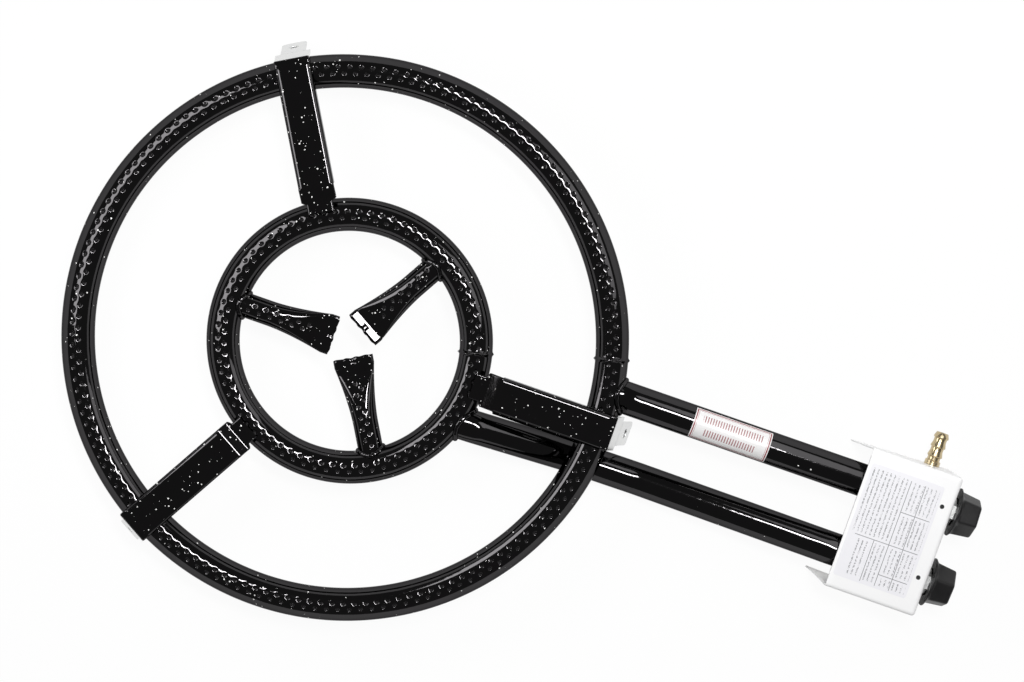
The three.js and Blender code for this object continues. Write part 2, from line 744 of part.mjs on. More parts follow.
// The hose nozzle: thread, hexagon inside the wall, collar and barbs outside it
function hoseNozzle() {
  const bore = nozzleBore / 2;
  const wall = boxWidth / 2;
  const hexEnd = wall - boxSheet - seatGap;
  const collarEnd = wall + nozzleCollarLength;
  const pitch = (nozzleReach - nozzleCollarLength) / nozzleBarbs;
  const [thread, collar] = [manifoldBore / 2 - seatGap, nozzleCollarDiameter / 2];
  const [neck, barb] = [nozzleNeckDiameter / 2, nozzleBarbDiameter / 2];
  const profile = [
    [bore, manifoldMouth - threadLength], [thread, manifoldMouth - threadLength], [thread, hexEnd],
    [collar, hexEnd], [collar, collarEnd], [neck, collarEnd],
  ];
  for (let i = 0; i < nozzleBarbs; i += 1) {
    const step = collarEnd + (i + nozzleStepShare) * pitch;
    const foot = i === nozzleBarbs - 1 ? nozzleTipDiameter / 2 : neck;
    profile.push([neck, step], [barb, step], [foot, collarEnd + (i + 1) * pitch]);
  }
  profile.push([bore, wall + nozzleReach]);
  const hex = hexagon(nozzleHexFlats, nozzleBore, manifoldMouth + seatGap, hexEnd);
  return joined(onManifold(turned(profile)), onManifold(hex));
}

// Places of the tap's parts along X
const bonnetFace = chassisFlangeBack - seatGap;
const bonnetBack = bonnetFace - bonnetFlange;
const tapFront = bonnetBack - seatGap;
const tapRear = tapFront - tapBodyLength;
const plugFront = manifoldX + plugFrontReach;
const plugRear = plugFront - plugLength;
const bonnetEnd = boxFront + bonnetReach;
const collarFront = bonnetEnd - bonnetCap - seatGap;
const collarBack = collarFront - collarThickness;
const knobBack = boxFront + knobGap;
const knobEnd = knobBack + knobLength;
const spindleSocketEnd = knobEnd - knobFace;

function tapBody() {
  const [neck, body] = [tapNeckDiameter / 2, tapBodyDiameter / 2];
  const [socket, passage] = [injectorThread / 2 + seatGap, tapPassage / 2];
  const [rearCone, frontCone] = [plugRearDiameter / 2 + runningGap, plugFrontDiameter / 2 + runningGap];
  const neckEnd = tapRear + tapRearNeckLength;
  const shell = turned([
    [socket, tapRear], [neck, tapRear], [neck, neckEnd], [body, neckEnd + body - neck], [body, tapFront],
    [frontCone, tapFront], [frontCone, plugFront], [rearCone, plugRear - runningGap],
    [passage, plugRear - runningGap], [passage, neckEnd], [socket, neckEnd],
  ]);
  const inlet = alongZ(bar(tapInletDiameter / 2, -tapInletDepth, -frontCone));
  const bore = alongZ(bar(tapInletBore / 2, -tapInletDepth - cutOverrun, 0, smallSides));
  const [spigot, inletBore] = [inlet, bore].map((geometry) => solid(geometry.translate(manifoldX, 0, 0)));
  return cut(joined(solid(alongX(shell)), spigot), inletBore);
}

function tapBonnet() {
  const [neck, body, hole] = [tapNeckDiameter / 2, tapBodyDiameter / 2, spindleDiameter / 2 + runningGap];
  const bore = neck - bonnetWall;
  const cap = bonnetEnd - bonnetCap;
  return solid(alongX(turned([
    [bore, bonnetBack], [body, bonnetBack], [body, bonnetFace], [neck, bonnetFace], [neck, bonnetEnd],
    [hole, bonnetEnd], [hole, cap], [bore, cap],
  ])));
}

// The cone plug: the flame and simmer ports meet the inlet in turn, a slot takes the spindle
function tapPlug() {
  const flame = plugFlameBore / 2;
  const boreEnd = manifoldX + flame;
  const cone = alongX(turned([
    [0, boreEnd], [flame, boreEnd], [flame, plugRear], [plugRearDiameter / 2, plugRear],
    [plugFrontDiameter / 2, plugFront], [0, plugFront],
  ]));
  const ports = [
    bar(flame, -plugFrontDiameter, 0, smallSides).translate(manifoldX, 0, 0),
    alongZ(bar(plugSimmerBore / 2, 0, plugFrontDiameter, smallSides)).translate(manifoldX, 0, 0),
  ];
  const slot = block([plugFront - plugSlotDepth, plugFront + cutOverrun],
    [-plugSlotSpan / 2, plugSlotSpan / 2], [-plugSlotWidth / 2, plugSlotWidth / 2]);
  return cut(solid(cone), ...ports.map(solid), slot);
}

class Coil extends THREE.Curve {
  constructor(radius, from, to) {
    super();
    Object.assign(this, { radius, from, to });
  }

  getPoint(share, target = new THREE.Vector3()) {
    const turn = share * springTurns * 2 * Math.PI;
    const x = THREE.MathUtils.lerp(this.from, this.to, share);
    return target.set(x, this.radius * Math.cos(turn), this.radius * Math.sin(turn));
  }
}

// The return spring around the spindle's stem, at its pressed length
function tapSpring() {
  const wire = springWire / 2;
  const radius = tapNeckDiameter / 2 - bonnetWall - runningGap - wire;
  const from = plugFront + seatGap + wire;
  const to = collarBack - pressTravel - seatGap - wire;
  return solid(new THREE.ExtrudeGeometry(new THREE.Shape().absarc(0, 0, wire, 0, 2 * Math.PI), {
    steps: springTurns * springStepsPerTurn,
    curveSegments: springSides / 2,
    extrudePath: new Coil(radius, from, to),
  }));
}

// A round bar with a flat along one side, for the spindle's end and its socket
function flattedBar(margin, from, to) {
  const flat = spindleFlat + margin;
  const round = solid(alongX(bar(spindleDiameter / 2 + margin, from, to)));
  return cut(round, block([from, to], [-spindleDiameter, spindleDiameter], [flat, spindleDiameter]));
}

function tapSpindle() {
  const stemBack = plugFront + pressTravel + runningGap;
  const flatStart = knobBack + knobCavityDepth;
  const shaft = solid(alongX(turned([
    [0, stemBack], [stemDiameter / 2, stemBack], [stemDiameter / 2, collarBack],
    [collarDiameter / 2, collarBack], [collarDiameter / 2, collarFront],
    [spindleDiameter / 2, collarFront], [spindleDiameter / 2, flatStart], [0, flatStart],
  ])));
  const tongueEnds = [plugFront - tongueEngagement, stemBack + joinOverlap];
  const [halfTongue, halfBlade] = [tongueWidth / 2, tongueThickness / 2];
  const tongue = block(tongueEnds, [-halfTongue, halfTongue], [-halfBlade, halfBlade]);
  const blade = tongue.intersect(solid(alongX(bar(halfTongue, ...tongueEnds))));
  return joined(shaft, blade, flattedBar(0, flatStart - joinOverlap, spindleSocketEnd - seatGap));
}

function tapNut() {
  const from = boxFront + seatGap;
  return solid(alongX(hexagon(tapNutFlats, tapNeckDiameter + 2 * seatGap, from, from + tapNutHeight)));
}

function injector() {
  const face = tapRear - seatGap;
  const hexBack = face - injectorHexHeight;
  const tip = hexBack - injectorNose;
  const threadEnd = tapRear + tapRearNeckLength - seatGap;
  const [bore, orifice] = [injectorBore / 2, injectorOrifice / 2];
  const [thread, nose] = [injectorThread / 2, injectorTipDiameter / 2];
  const jet = turned([
    [bore, threadEnd], [thread, threadEnd], [thread, hexBack], [nose, tip], [orifice, tip],
    [orifice, tip + injectorTipDiameter / 2], [bore, tip + injectorTipDiameter],
  ], smallSides);
  const hex = hexagon(injectorHexFlats, injectorThread / 2, hexBack, face);
  return joined(solid(alongX(jet)), solid(alongX(hex)));
}

// A knob: thin flared skirt, six-sided grip with softened corners, hollow back
function knob(place) {
  const [skirt, corner] = [knobSkirtDiameter / 2, knobGripDiameter / 2];
  const gripBack = knobBack + knobRim;
  const skirtEnd = knobBack + knobSkirtRise;
  const cone = alongX(turned([
    [0, knobBack], [skirt, knobBack], [skirt, gripBack], [corner, skirtEnd], [0, skirtEnd],
  ], knobSides));
  const length = knobEnd - gripBack;
  const prism = new THREE.CylinderGeometry(corner - knobGripDraft, corner, length, 6);
  alongX(prism.translate(0, gripBack + length / 2, 0));
  prism.rotateX((30 - Math.sign(place) * knobFlatTurn) * degree);
  const softened = corner - knobCornerCut;
  const blank = alongX(turned([
    [0, gripBack], [softened, gripBack], [softened - knobGripDraft, knobEnd - knobEndBevel],
    [softened - knobGripDraft - knobEndBevel, knobEnd], [0, knobEnd],
  ], knobSides));
  const grip = solid(prism).intersect(solid(blank));
  const cavityEnd = knobBack + knobCavityDepth;
  const cavity = alongX(bar(knobCavityDiameter / 2, knobBack - cutOverrun, cavityEnd, knobSides));
  const socket = flattedBar(seatGap, cavityEnd - cutOverrun, spindleSocketEnd);
  return cut(joined(solid(cone), grip), solid(cavity), socket);
}

// A group of pieces turned about the outer ring's centre, or about the inner ring's
function turnedGroup(angle, shift, ...pieces) {
  const group = new THREE.Group();
  group.add(...pieces);
  group.position.x = shift;
  group.rotation.z = angle * degree;
  return group;
}

const burner = new THREE.Group();
burner.position.set((outerRingDiameter / 2 - knobEnd) / 2, 0, ringHeight);

burner.add(
  piece('outer_ring', outerRing(), finishes.enamel),
  piece('inner_ring', innerRing(), finishes.enamel),
  piece('outer_feed_tube', outerFeedTube(), finishes.enamel),
  piece('inner_feed_tube', innerFeedTube(), finishes.enamel),
  piece('burner_chassis', chassis(), finishes.enamel),
  piece('control_box_cover', boxCover(), finishes.whitePaint),
  piece('gas_manifold', manifold(), finishes.brass),
  piece('manifold_end_plug', manifoldPlug(), finishes.brass),
  piece('hose_nozzle', hoseNozzle(), finishes.brass),
);

spokeAngles.forEach((angle, i) => {
  burner.add(turnedGroup(angle, innerRingShift, piece(`center_spoke_${i + 1}`, spoke(), finishes.enamel)));
});

supportAngles.forEach((angle, i) => {
  const group = turnedGroup(
    angle,
    0,
    piece(`pan_support_${i + 1}`, panSupport(angle), finishes.enamel),
    piece(`leg_bracket_${i + 1}`, legBracket(), finishes.zinc),
    piece(`leg_bracket_nut_${i + 1}`, bracketNut(), finishes.zinc),
  );
  burner.add(group.translateY(supportAside(angle)));
});

tapPlaces.forEach((place, i) => {
  const tap = new THREE.Group();
  tap.position.y = place;
  tap.add(
    piece(`tap_body_${i + 1}`, tapBody(), finishes.brass),
    piece(`tap_bonnet_${i + 1}`, tapBonnet(), finishes.brass),
    piece(`tap_plug_${i + 1}`, tapPlug(), finishes.brass),
    piece(`tap_spring_${i + 1}`, tapSpring(), finishes.steel),
    piece(`tap_spindle_${i + 1}`, tapSpindle(), finishes.steel),
    piece(`tap_nut_${i + 1}`, tapNut(), finishes.brass),
    piece(`injector_${i + 1}`, injector(), finishes.brass),
    piece(`control_knob_${i + 1}`, knob(place), finishes.blackPlastic),
  );
  burner.add(tap);
});

export default burner;
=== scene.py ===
"""Two-ring gas burner for paella pans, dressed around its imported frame.

Every shape is worked out in millimetres about the centre of the outer ring, with the feed
tubes along +X and +Z up, and is then moved to the frame's own origin in metres.
"""

from __future__ import annotations

import json
import logging
import math
from dataclasses import dataclass, field
from enum import Enum

import bmesh
import bpy
import numpy as np
from mathutils import Matrix

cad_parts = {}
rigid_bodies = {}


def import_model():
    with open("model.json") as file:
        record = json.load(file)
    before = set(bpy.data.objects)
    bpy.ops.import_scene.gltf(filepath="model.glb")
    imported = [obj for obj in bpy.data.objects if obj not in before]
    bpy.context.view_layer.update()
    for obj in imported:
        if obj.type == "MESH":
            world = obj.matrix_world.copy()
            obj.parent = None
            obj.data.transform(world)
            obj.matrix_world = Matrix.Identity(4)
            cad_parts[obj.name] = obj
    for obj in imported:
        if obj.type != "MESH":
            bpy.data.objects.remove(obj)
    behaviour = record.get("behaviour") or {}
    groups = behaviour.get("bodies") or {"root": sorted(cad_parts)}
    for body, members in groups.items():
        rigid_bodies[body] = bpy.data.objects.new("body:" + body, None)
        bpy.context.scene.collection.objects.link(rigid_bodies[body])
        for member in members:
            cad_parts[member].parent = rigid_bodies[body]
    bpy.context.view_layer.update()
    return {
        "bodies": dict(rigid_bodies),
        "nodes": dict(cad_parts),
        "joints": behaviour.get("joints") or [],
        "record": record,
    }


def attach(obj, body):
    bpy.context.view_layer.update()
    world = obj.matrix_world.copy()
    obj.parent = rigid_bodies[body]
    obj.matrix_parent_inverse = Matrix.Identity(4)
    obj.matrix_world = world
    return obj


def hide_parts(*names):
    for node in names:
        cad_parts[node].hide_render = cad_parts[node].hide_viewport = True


LOG = logging.getLogger("burner")
Array = np.ndarray
Colour = tuple[float, float, float, float]
Waves = tuple[tuple[float, float, float], ...]  # size, waves per unit, lead

RING_CENTRE = np.array([-131.25, 0.0, 37.5])  # millimetres, in the frame
MILLIMETRE = 0.001
ROOT = "burner"


@dataclass(frozen=True)
class Layout:
    """Sizes in millimetres that more than one sub-assembly is built from."""

    tube_radius: float = 11.75
    tube_wall: float = 2.0
    outer_radius: float = 188.25
    inner_radius: float = 89.25
    inner_shift: float = 3.5
    feed_place: float = 26.3
    feed_end: float = 389.0
    feed_splay: float = 0.45
    support_shift: float = 2.3
    floor: float = -37.5
    box_start: float = 374.7
    box_front: float = 441.0
    box_width: float = 103.0
    box_top: float = 15.0
    manifold_x: float = 423.5
    manifold_drop: float = 24.0

    def aside(self, angle: float) -> float:
        """How far the axis of a pan support at an angle passes the ring's centre."""
        return -self.support_shift * math.sin(math.radians(angle))


LAYOUT = Layout()
NECK = 0.82  # share of a feed tube's height that is left where it meets its ring


class Slot(str, Enum):
    """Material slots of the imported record."""

    ENAMEL = "enamel"
    ZINC = "zinc"
    WHITE = "white_paint"
    BRASS = "brass"
    STEEL = "steel"
    PLASTIC = "black_plastic"


# Shader expressions.


class Value:
    """A socket in an expression: the usual operators add Math nodes behind it."""

    def __init__(self, graph: "Graph", socket: bpy.types.NodeSocket) -> None:
        """Wraps one output socket of a graph."""
        self.graph = graph
        self.socket = socket

    def math(self, operation: str, *others: "Value | float") -> "Value":
        """Adds a Math node.

        Args:
            operation: the node's operation.
            others: its second and third inputs.

        Returns:
            The node's result.
        """
        inputs = {0: self, **{i + 1: other for i, other in enumerate(others)}}
        return self.graph.node("ShaderNodeMath", {"operation": operation}, inputs)

    def __add__(self, other: "Value | float") -> "Value":
        """Sum."""
        return self.math("ADD", other)

    def __mul__(self, other: "Value | float") -> "Value":
        """Product."""
        return self.math("MULTIPLY", other)

    def __sub__(self, other: "Value | float") -> "Value":
        """Difference."""
        return self.math("SUBTRACT", other)

    def __rsub__(self, other: float) -> "Value":
        """Difference from a number."""
        return self * -1.0 + other

    def __abs__(self) -> "Value":
        """Size without its sign."""
        return self.math("ABSOLUTE")

    def __lt__(self, other: "Value | float") -> "Value":
        """1 where this is less than the other, or else 0."""
        return self.math("LESS_THAN", other)

    def __gt__(self, other: "Value | float") -> "Value":
        """1 where this is more than the other, or else 0."""
        return self.math("GREATER_THAN", other)

    def least(self, other: "Value | float") -> "Value":
        """The smaller of the two."""
        return self.math("MINIMUM", other)

    def most(self, other: "Value | float") -> "Value":
        """The larger of the two."""
        return self.math("MAXIMUM", other)

    def clamped(self) -> "Value":
        """This value held between 0 and 1."""
        return self.graph.node("ShaderNodeMapRange", {"clamp": True}, {"Value": self})


class Graph:
    """A material's node tree, made from expressions."""

    def __init__(self, name: str) -> None:
        """Starts an empty material of that name."""
        self.material = bpy.data.materials.new(name)
        self.material.use_nodes = True
        self.tree = self.material.node_tree
        self.tree.nodes.clear()

    def node(
        self,
        kind: str,
        settings: dict[str, object] | None = None,
        inputs: dict[str | int, object] | None = None,
        output: str | int = 0,
    ) -> Value:
        """Adds a node.

        Args:
            kind: the node's type.
            settings: properties, set first.
            inputs: socket name or number to a number, colour or Value.
            output: the socket to give back.

        Returns:
            The chosen output.
        """
        made = self.tree.nodes.new(kind)
        for key, setting in (settings or {}).items():
            setattr(made, key, setting)
        for key, given in (inputs or {}).items():
            if isinstance(given, Value):
                self.tree.links.new(given.socket, made.inputs[key])
            else:
                made.inputs[key].default_value = given
        return Value(self, made.outputs[output] if len(made.outputs) else None)

    def position(self) -> Value:
        """Object coordinates, which here are metres in the frame."""
        return self.node("ShaderNodeTexCoord", output="Object")

    def part(self, vector: Value, axis: str) -> Value:
        """One coordinate of a vector."""
        return self.node("ShaderNodeSeparateXYZ", inputs={0: vector}, output=axis)

    def attribute(self, name: str) -> Value:
        """A number stored on the mesh's points."""
        return self.node("ShaderNodeAttribute", {"attribute_name": name}, output="Fac")

    def noise(self, vector: Value, scale: float, detail: float = 2.0) -> Value:
        """Noise between 0 and 1.

        Args:
            vector: where it is read.
            scale: cells per metre.
            detail: octaves.

        Returns:
            The noise's value.
        """
        return self.node("ShaderNodeTexNoise", inputs={"Vector": vector, "Scale": scale, "Detail": detail})

    def mix(self, share: Value | float, first: object, second: object) -> Value:
        """Mixes two colours.

        Args:
            share: 0 for the first, 1 for the second.
            first: a colour.
            second: a colour.

        Returns:
            The mixed colour.
        """
        settings = {"data_type": "RGBA", "clamp_factor": True}
        return self.node("ShaderNodeMix", settings, {0: share, 6: first, 7: second}, 2)

    def bump(self, height: Value, distance: float) -> Value:
        """A normal from a height.

        Args:
            height: 0 to 1.
            distance: metres that 1 stands for.

        Returns:
            The normal.
        """
        inputs = {"Strength": 1.0, "Distance": distance, "Height": height}
        return self.node("ShaderNodeBump", inputs=inputs)

    def surface(self, **inputs: object) -> bpy.types.Material:
        """Ends the material with one Principled shader.

        Args:
            inputs: its sockets, with _ for each space.

        Returns:
            The material.
        """
        named = {key.replace("_", " "): given for key, given in inputs.items()}
        shader = self.node("ShaderNodeBsdfPrincipled", inputs=named)
        self.node("ShaderNodeOutputMaterial", inputs={"Surface": shader})
        return self.material


def rgb(red: float, green: float, blue: float) -> Colour:
    """An opaque colour."""
    return (red, green, blue, 1.0)


# Finishes.


@dataclass(frozen=True)
class Enamel:
    """Gloss black vitreous enamel, spattered with white specks.

    The black is a dark mirror: its base colour is the share of light that enamel throws back
    face on, and the tint holds that share down near the outline, where the tubes stay black.
    """

    name: str
    cell: float  # millimetres between the places a speck can take
    share: float  # of those places that hold one
    smallest: float  # radius in millimetres
    largest: float
    soft_edge: float = 0.12  # millimetres over which a speck's edge fades
    warp_scale: float = 700.0  # cells per metre of the noise that bends the specks' outlines
    warp_reach: float = 0.0007  # metres

    def material(self) -> bpy.types.Material:
        """Specks are small balls round the points of a Voronoi pattern: a random number
        of each cell says whether it has one and how large it is."""
        graph = Graph(self.name)
        place = graph.position()
        inputs = {"Vector": place, "Scale": self.warp_scale}
        warp = graph.node("ShaderNodeTexNoise", inputs=inputs, output="Color")
        shift = graph.node("ShaderNodeVectorMath", {"operation": "SUBTRACT"}, {0: warp, 1: (0.5, 0.5, 0.5)})
        inputs = {0: shift, "Scale": self.warp_reach}
        scaled = graph.node("ShaderNodeVectorMath", {"operation": "SCALE"}, inputs)
        bent = graph.node("ShaderNodeVectorMath", {"operation": "ADD"}, {0: place, 1: scaled})
        cells = {"Vector": bent, "Scale": 1.0 / (self.cell * MILLIMETRE), "Randomness": 1.0}
        away = graph.node("ShaderNodeTexVoronoi", {"feature": "F1"}, cells, "Distance")
        random = graph.node("ShaderNodeTexVoronoi", {"feature": "F1"}, cells, "Color")
        chance, size = graph.part(random, "X"), graph.part(random, "Y")
        radius = (size * size * (self.largest - self.smallest) + self.smallest) * (1.0 / self.cell)
        speck = ((radius - away) * (self.cell / self.soft_edge)).clamped() * (chance < self.share)
        hole = graph.attribute("hole")
        ripple = graph.noise(place, 120.0, 1.0)
        grain = graph.noise(place, 900.0, 2.0)
        black = graph.mix(graph.noise(place, 60.0), rgb(0.043, 0.0415, 0.043), rgb(0.05, 0.0485, 0.05))
        white = speck * (1.0 - hole)
        return graph.surface(
            Base_Color=graph.mix(white, black, rgb(0.82, 0.82, 0.8)),
            Metallic=1.0 - white,
            Roughness=(grain * 0.03 + 0.05 + speck * 0.16 + hole * 0.6).least(1.0),
            Normal=graph.bump(ripple + speck * 0.8 + grain * 0.06, 0.00009),
            Specular_Tint=rgb(0.45, 0.45, 0.45),
        )


@dataclass(frozen=True)
class Worked:
    """A worked surface: a coarse noise changes its tone, a fine one gives most of its relief."""

    name: str
    colours: tuple[Colour, Colour]  # at both ends of the coarse noise
    coarse: tuple[float, float]  # cells per metre and octaves
    fine: tuple[float, float]
    roughness: tuple[float, float, float]  # least, and what the coarse and the fine noise add
    relief: tuple[float, float]  # shares of the coarse and the fine noise
    depth: float  # metres
    metallic: float = 0.0
    specular: float = 0.5

    def material(self) -> bpy.types.Material:
        """Both noises change its roughness and its relief by their shares."""
        graph = Graph(self.name)
        place = graph.position()
        coarse, fine = graph.noise(place, *self.coarse), graph.noise(place, *self.fine)
        least, by_coarse, by_fine = self.roughness
        coarse_share, fine_share = self.relief
        return graph.surface(
            Base_Color=graph.mix(coarse, *self.colours),
            Metallic=self.metallic,
            Specular_IOR_Level=self.specular,
            Roughness=coarse * by_coarse + fine * by_fine + least,
            Normal=graph.bump(fine * fine_share + coarse * coarse_share, self.depth),
        )


@dataclass(frozen=True)
class Print:
    """A flat printed ink."""

    name: str
    colour: Colour
    roughness: float

    def material(self) -> bpy.types.Material:
        """Ink with a trace of uneven cover."""
        graph = Graph(self.name)
        cover = graph.noise(graph.position(), 2200.0, 2.0)
        lighter = tuple(min(1.0, part * 1.25 + 0.004) for part in self.colour[:3]) + (1.0,)
        return graph.surface(
            Base_Color=graph.mix(cover, self.colour, lighter),
            Roughness=cover * 0.1 + self.roughness,
        )


@dataclass(frozen=True)
class RuledLabel:
    """Pale foil label with ruled lines and rows of broken marks, which spell nothing.

    Lines are given in millimetres about the outer ring's centre: along Y as (x, from y, to y),
    along X as (y, from x, to x). A block that holds rows is (from x, to x, from y, to y).
    """

    name: str = "ruled_label"
    line_width: float = 0.42
    blocks: tuple[tuple[float, float, float, float], ...] = (
        (378.6, 405.8, -7.5, 38.5),
        (385.0, 394.6, -38.0, -12.0),
        (397.6, 405.8, -38.5, -11.5),
        (408.4, 428.4, -39.0, -33.5),
        (408.4, 428.4, -29.5, -11.5),
        (408.4, 428.4, -7.5, 13.0),
        (408.4, 428.4, 17.0, 37.5),
    )
    pitch: float = 3.05  # from row to row
    row_share: float = 0.17  # of the pitch, to each side of a row's middle
    mark_scale: float = 1100.0  # cells per metre of the noise that breaks the rows
    along_y: tuple[tuple[float, float, float], ...] = (
        (407.0, -40.0, 38.0),
        (417.5, -40.0, 38.0),
        (396.2, -40.0, -9.5),
    )
    along_x: tuple[tuple[float, float, float], ...] = (
        (-9.5, 382.0, 428.4),
        (15.0, 407.0, 428.4),
        (-31.5, 407.0, 428.4),
    )

    def _line(self, graph: Graph, across: Value, along: Value, line: tuple[float, float, float],
              origin: tuple[float, float]) -> Value:
        """1 on one ruled line.

        Args:
            graph: the material's graph.
            across: coordinate that the line keeps.
            along: coordinate that it runs along.
            line: its place and its two ends.
            origin: the frame's place of the ring centre for both coordinates.

        Returns:
            The line's mask.
        """
        place, low, high = line
        on = abs(across - (place + origin[0]) * MILLIMETRE) < self.line_width / 2 * MILLIMETRE
        middle = ((low + high) / 2 + origin[1]) * MILLIMETRE
        return on * (abs(along - middle) < (high - low) / 2 * MILLIMETRE)

    def material(self) -> bpy.types.Material:
        """Paper tone with every line and every row laid over it."""
        graph = Graph(self.name)
        place = graph.position()
        x, y = graph.part(place, "X"), graph.part(place, "Y")
        ink = None
        shift_x, shift_y = RING_CENTRE[0], RING_CENTRE[1]
        for line in self.along_y:
            mask = self._line(graph, x, y, line, (shift_x, shift_y))
            ink = mask if ink is None else ink.most(mask)
        for line in self.along_x:
            ink = ink.most(self._line(graph, y, x, line, (shift_y, shift_x)))
        held = None
        for low_x, high_x, low_y, high_y in self.blocks:
            middle_x, middle_y = (low_x + high_x) / 2 + shift_x, (low_y + high_y) / 2 + shift_y
            inside = abs(x - middle_x * MILLIMETRE) < (high_x - low_x) / 2 * MILLIMETRE
            inside = inside * (abs(y - middle_y * MILLIMETRE) < (high_y - low_y) / 2 * MILLIMETRE)
            held = inside if held is None else held.most(inside)
        row = abs((x * (1 / (self.pitch * MILLIMETRE))).math("FRACT") - 0.5) < self.row_share
        dashes = held * row * (graph.noise(place, self.mark_scale, 1.0) > 0.5)
        ink = ink.most(dashes * 0.8)
        tone = graph.noise(place, 90.0, 2.0)
        paper = graph.mix(tone, rgb(0.84, 0.835, 0.87), rgb(0.88, 0.875, 0.905))
        return graph.surface(
            Base_Color=graph.mix(ink * 0.85, paper, rgb(0.06, 0.06, 0.07)),
            Roughness=tone * 0.12 + 0.28,
        )


@dataclass(frozen=True)
class BorderedSticker:
    """White sticker with a fine double red border and two rows of plain strokes.

    The strokes stand in for the photograph's two printed lines and spell nothing.
    """

    name: str = "bordered_sticker"
    length: float = 56.5
    width: float = 26.0
    rows: tuple[tuple[float, float], ...] = ((0.69, 22.0), (0.33, 19.0))  # place across, half length
    row_reach: float = 0.1  # half a row's height, as a share of the width
    stroke_pitch: float = 1.9

    def material(self) -> bpy.types.Material:
        """Two thin frames at set distances from the edge, and rows cut into even strokes."""
        graph = Graph(self.name)
        place = graph.node("ShaderNodeUVMap", {"uv_map": "sticker"})
        u = (0.5 - abs(graph.part(place, "X") - 0.5)) * self.length
        v = (0.5 - abs(graph.part(place, "Y") - 0.5)) * self.width
        inside = u.least(v)
        frame = (abs(inside - 1.1) < 0.4).most((abs(inside - 2.3) < 0.15) * 0.7)
        along, across = graph.part(place, "X"), graph.part(place, "Y")
        for middle, reach in self.rows:
            row = (abs(across - middle) < self.row_reach) * (abs(along - 0.5) < reach / self.length)
            stroke = (along * (self.length / self.stroke_pitch)).math("FRACT") < 0.42
            frame = frame.most(row * stroke * 0.8)
        tone = graph.noise(graph.position(), 150.0, 2.0)
        paper = graph.mix(tone, rgb(0.8, 0.79, 0.79), rgb(0.86, 0.855, 0.85))
        return graph.surface(
            Base_Color=graph.mix(frame, paper, rgb(0.27, 0.03, 0.04)),
            Roughness=tone * 0.1 + 0.26,
        )


class Palette:
    """One material of each finish, made when it is first asked for."""

    def __init__(self) -> None:
        """Starts empty."""
        self.made: dict[str, bpy.types.Material] = {}

    def get(self, finish: object) -> bpy.types.Material:
        """The material of a finish."""
        if finish.name not in self.made:
            self.made[finish.name] = finish.material()
        return self.made[finish.name]


RING_ENAMEL = Enamel("ring_enamel", cell=3.4, share=0.38, smallest=0.2, largest=0.7)
ARM_ENAMEL = Enamel("arm_enamel", cell=2.5, share=0.58, smallest=0.18, largest=0.68)
FEED_ENAMEL = Enamel("feed_enamel", cell=4.6, share=0.1, smallest=0.3, largest=0.9)

ZINC_PLATE = Worked(
    "zinc_plate", (rgb(0.66, 0.67, 0.68), rgb(0.82, 0.82, 0.8)), (120.0, 3.0), (1500.0, 2.0),
    roughness=(0.24, 0.16, 0.08), relief=(1.0, 0.4), depth=0.00008, metallic=1.0,
)
WHITE_PAINT = Worked(
    "white_paint", (rgb(0.91, 0.91, 0.915), rgb(0.94, 0.94, 0.94)), (35.0, 2.0), (420.0, 2.0),
    roughness=(0.3, 0.0, 0.1), relief=(0.0, 1.0), depth=0.00006,
)
TURNED_BRASS = Worked(
    "turned_brass", (rgb(0.64, 0.53, 0.34), rgb(0.46, 0.37, 0.22)), (240.0, 3.0), (2600.0, 1.0),
    roughness=(0.15, 0.14, 0.06), relief=(0.0, 1.0), depth=0.00001, metallic=1.0,
)
BARE_STEEL = Worked(
    "bare_steel", (rgb(0.5, 0.5, 0.52), rgb(0.66, 0.66, 0.67)), (1800.0, 2.0), (1800.0, 2.0),
    roughness=(0.24, 0.15, 0.0), relief=(1.0, 0.0), depth=0.00003, metallic=1.0,
)
KNOB_PLASTIC = Worked(
    "knob_plastic", (rgb(0.0075, 0.0072, 0.0077), rgb(0.014, 0.0135, 0.014)), (130.0, 3.0), (2400.0, 2.0),
    roughness=(0.3, 0.14, 0.1), relief=(0.0, 1.0), depth=0.00005, specular=0.35,
)


# Surfaces.


def quads(rows: int, columns: int, wrap_rows: bool = False, wrap_columns: bool = False) -> Array:
    """Faces of a grid of points stored row by row.

    Args:
        rows: rows of points.
        columns: points in a row.
        wrap_rows: whether the last row joins the first.
        wrap_columns: whether the last column joins the first.

    Returns:
        Four point numbers a face.
    """
    row = np.arange(rows if wrap_rows else rows - 1)
    column = np.arange(columns if wrap_columns else columns - 1)
    i, j = (part.ravel() for part in np.meshgrid(row, column, indexing="ij"))
    below, beside = (i + 1) % rows, (j + 1) % columns
    corners = [i * columns + j, below * columns + j, below * columns + beside, i * columns + beside]
    return np.stack(corners, axis=1)


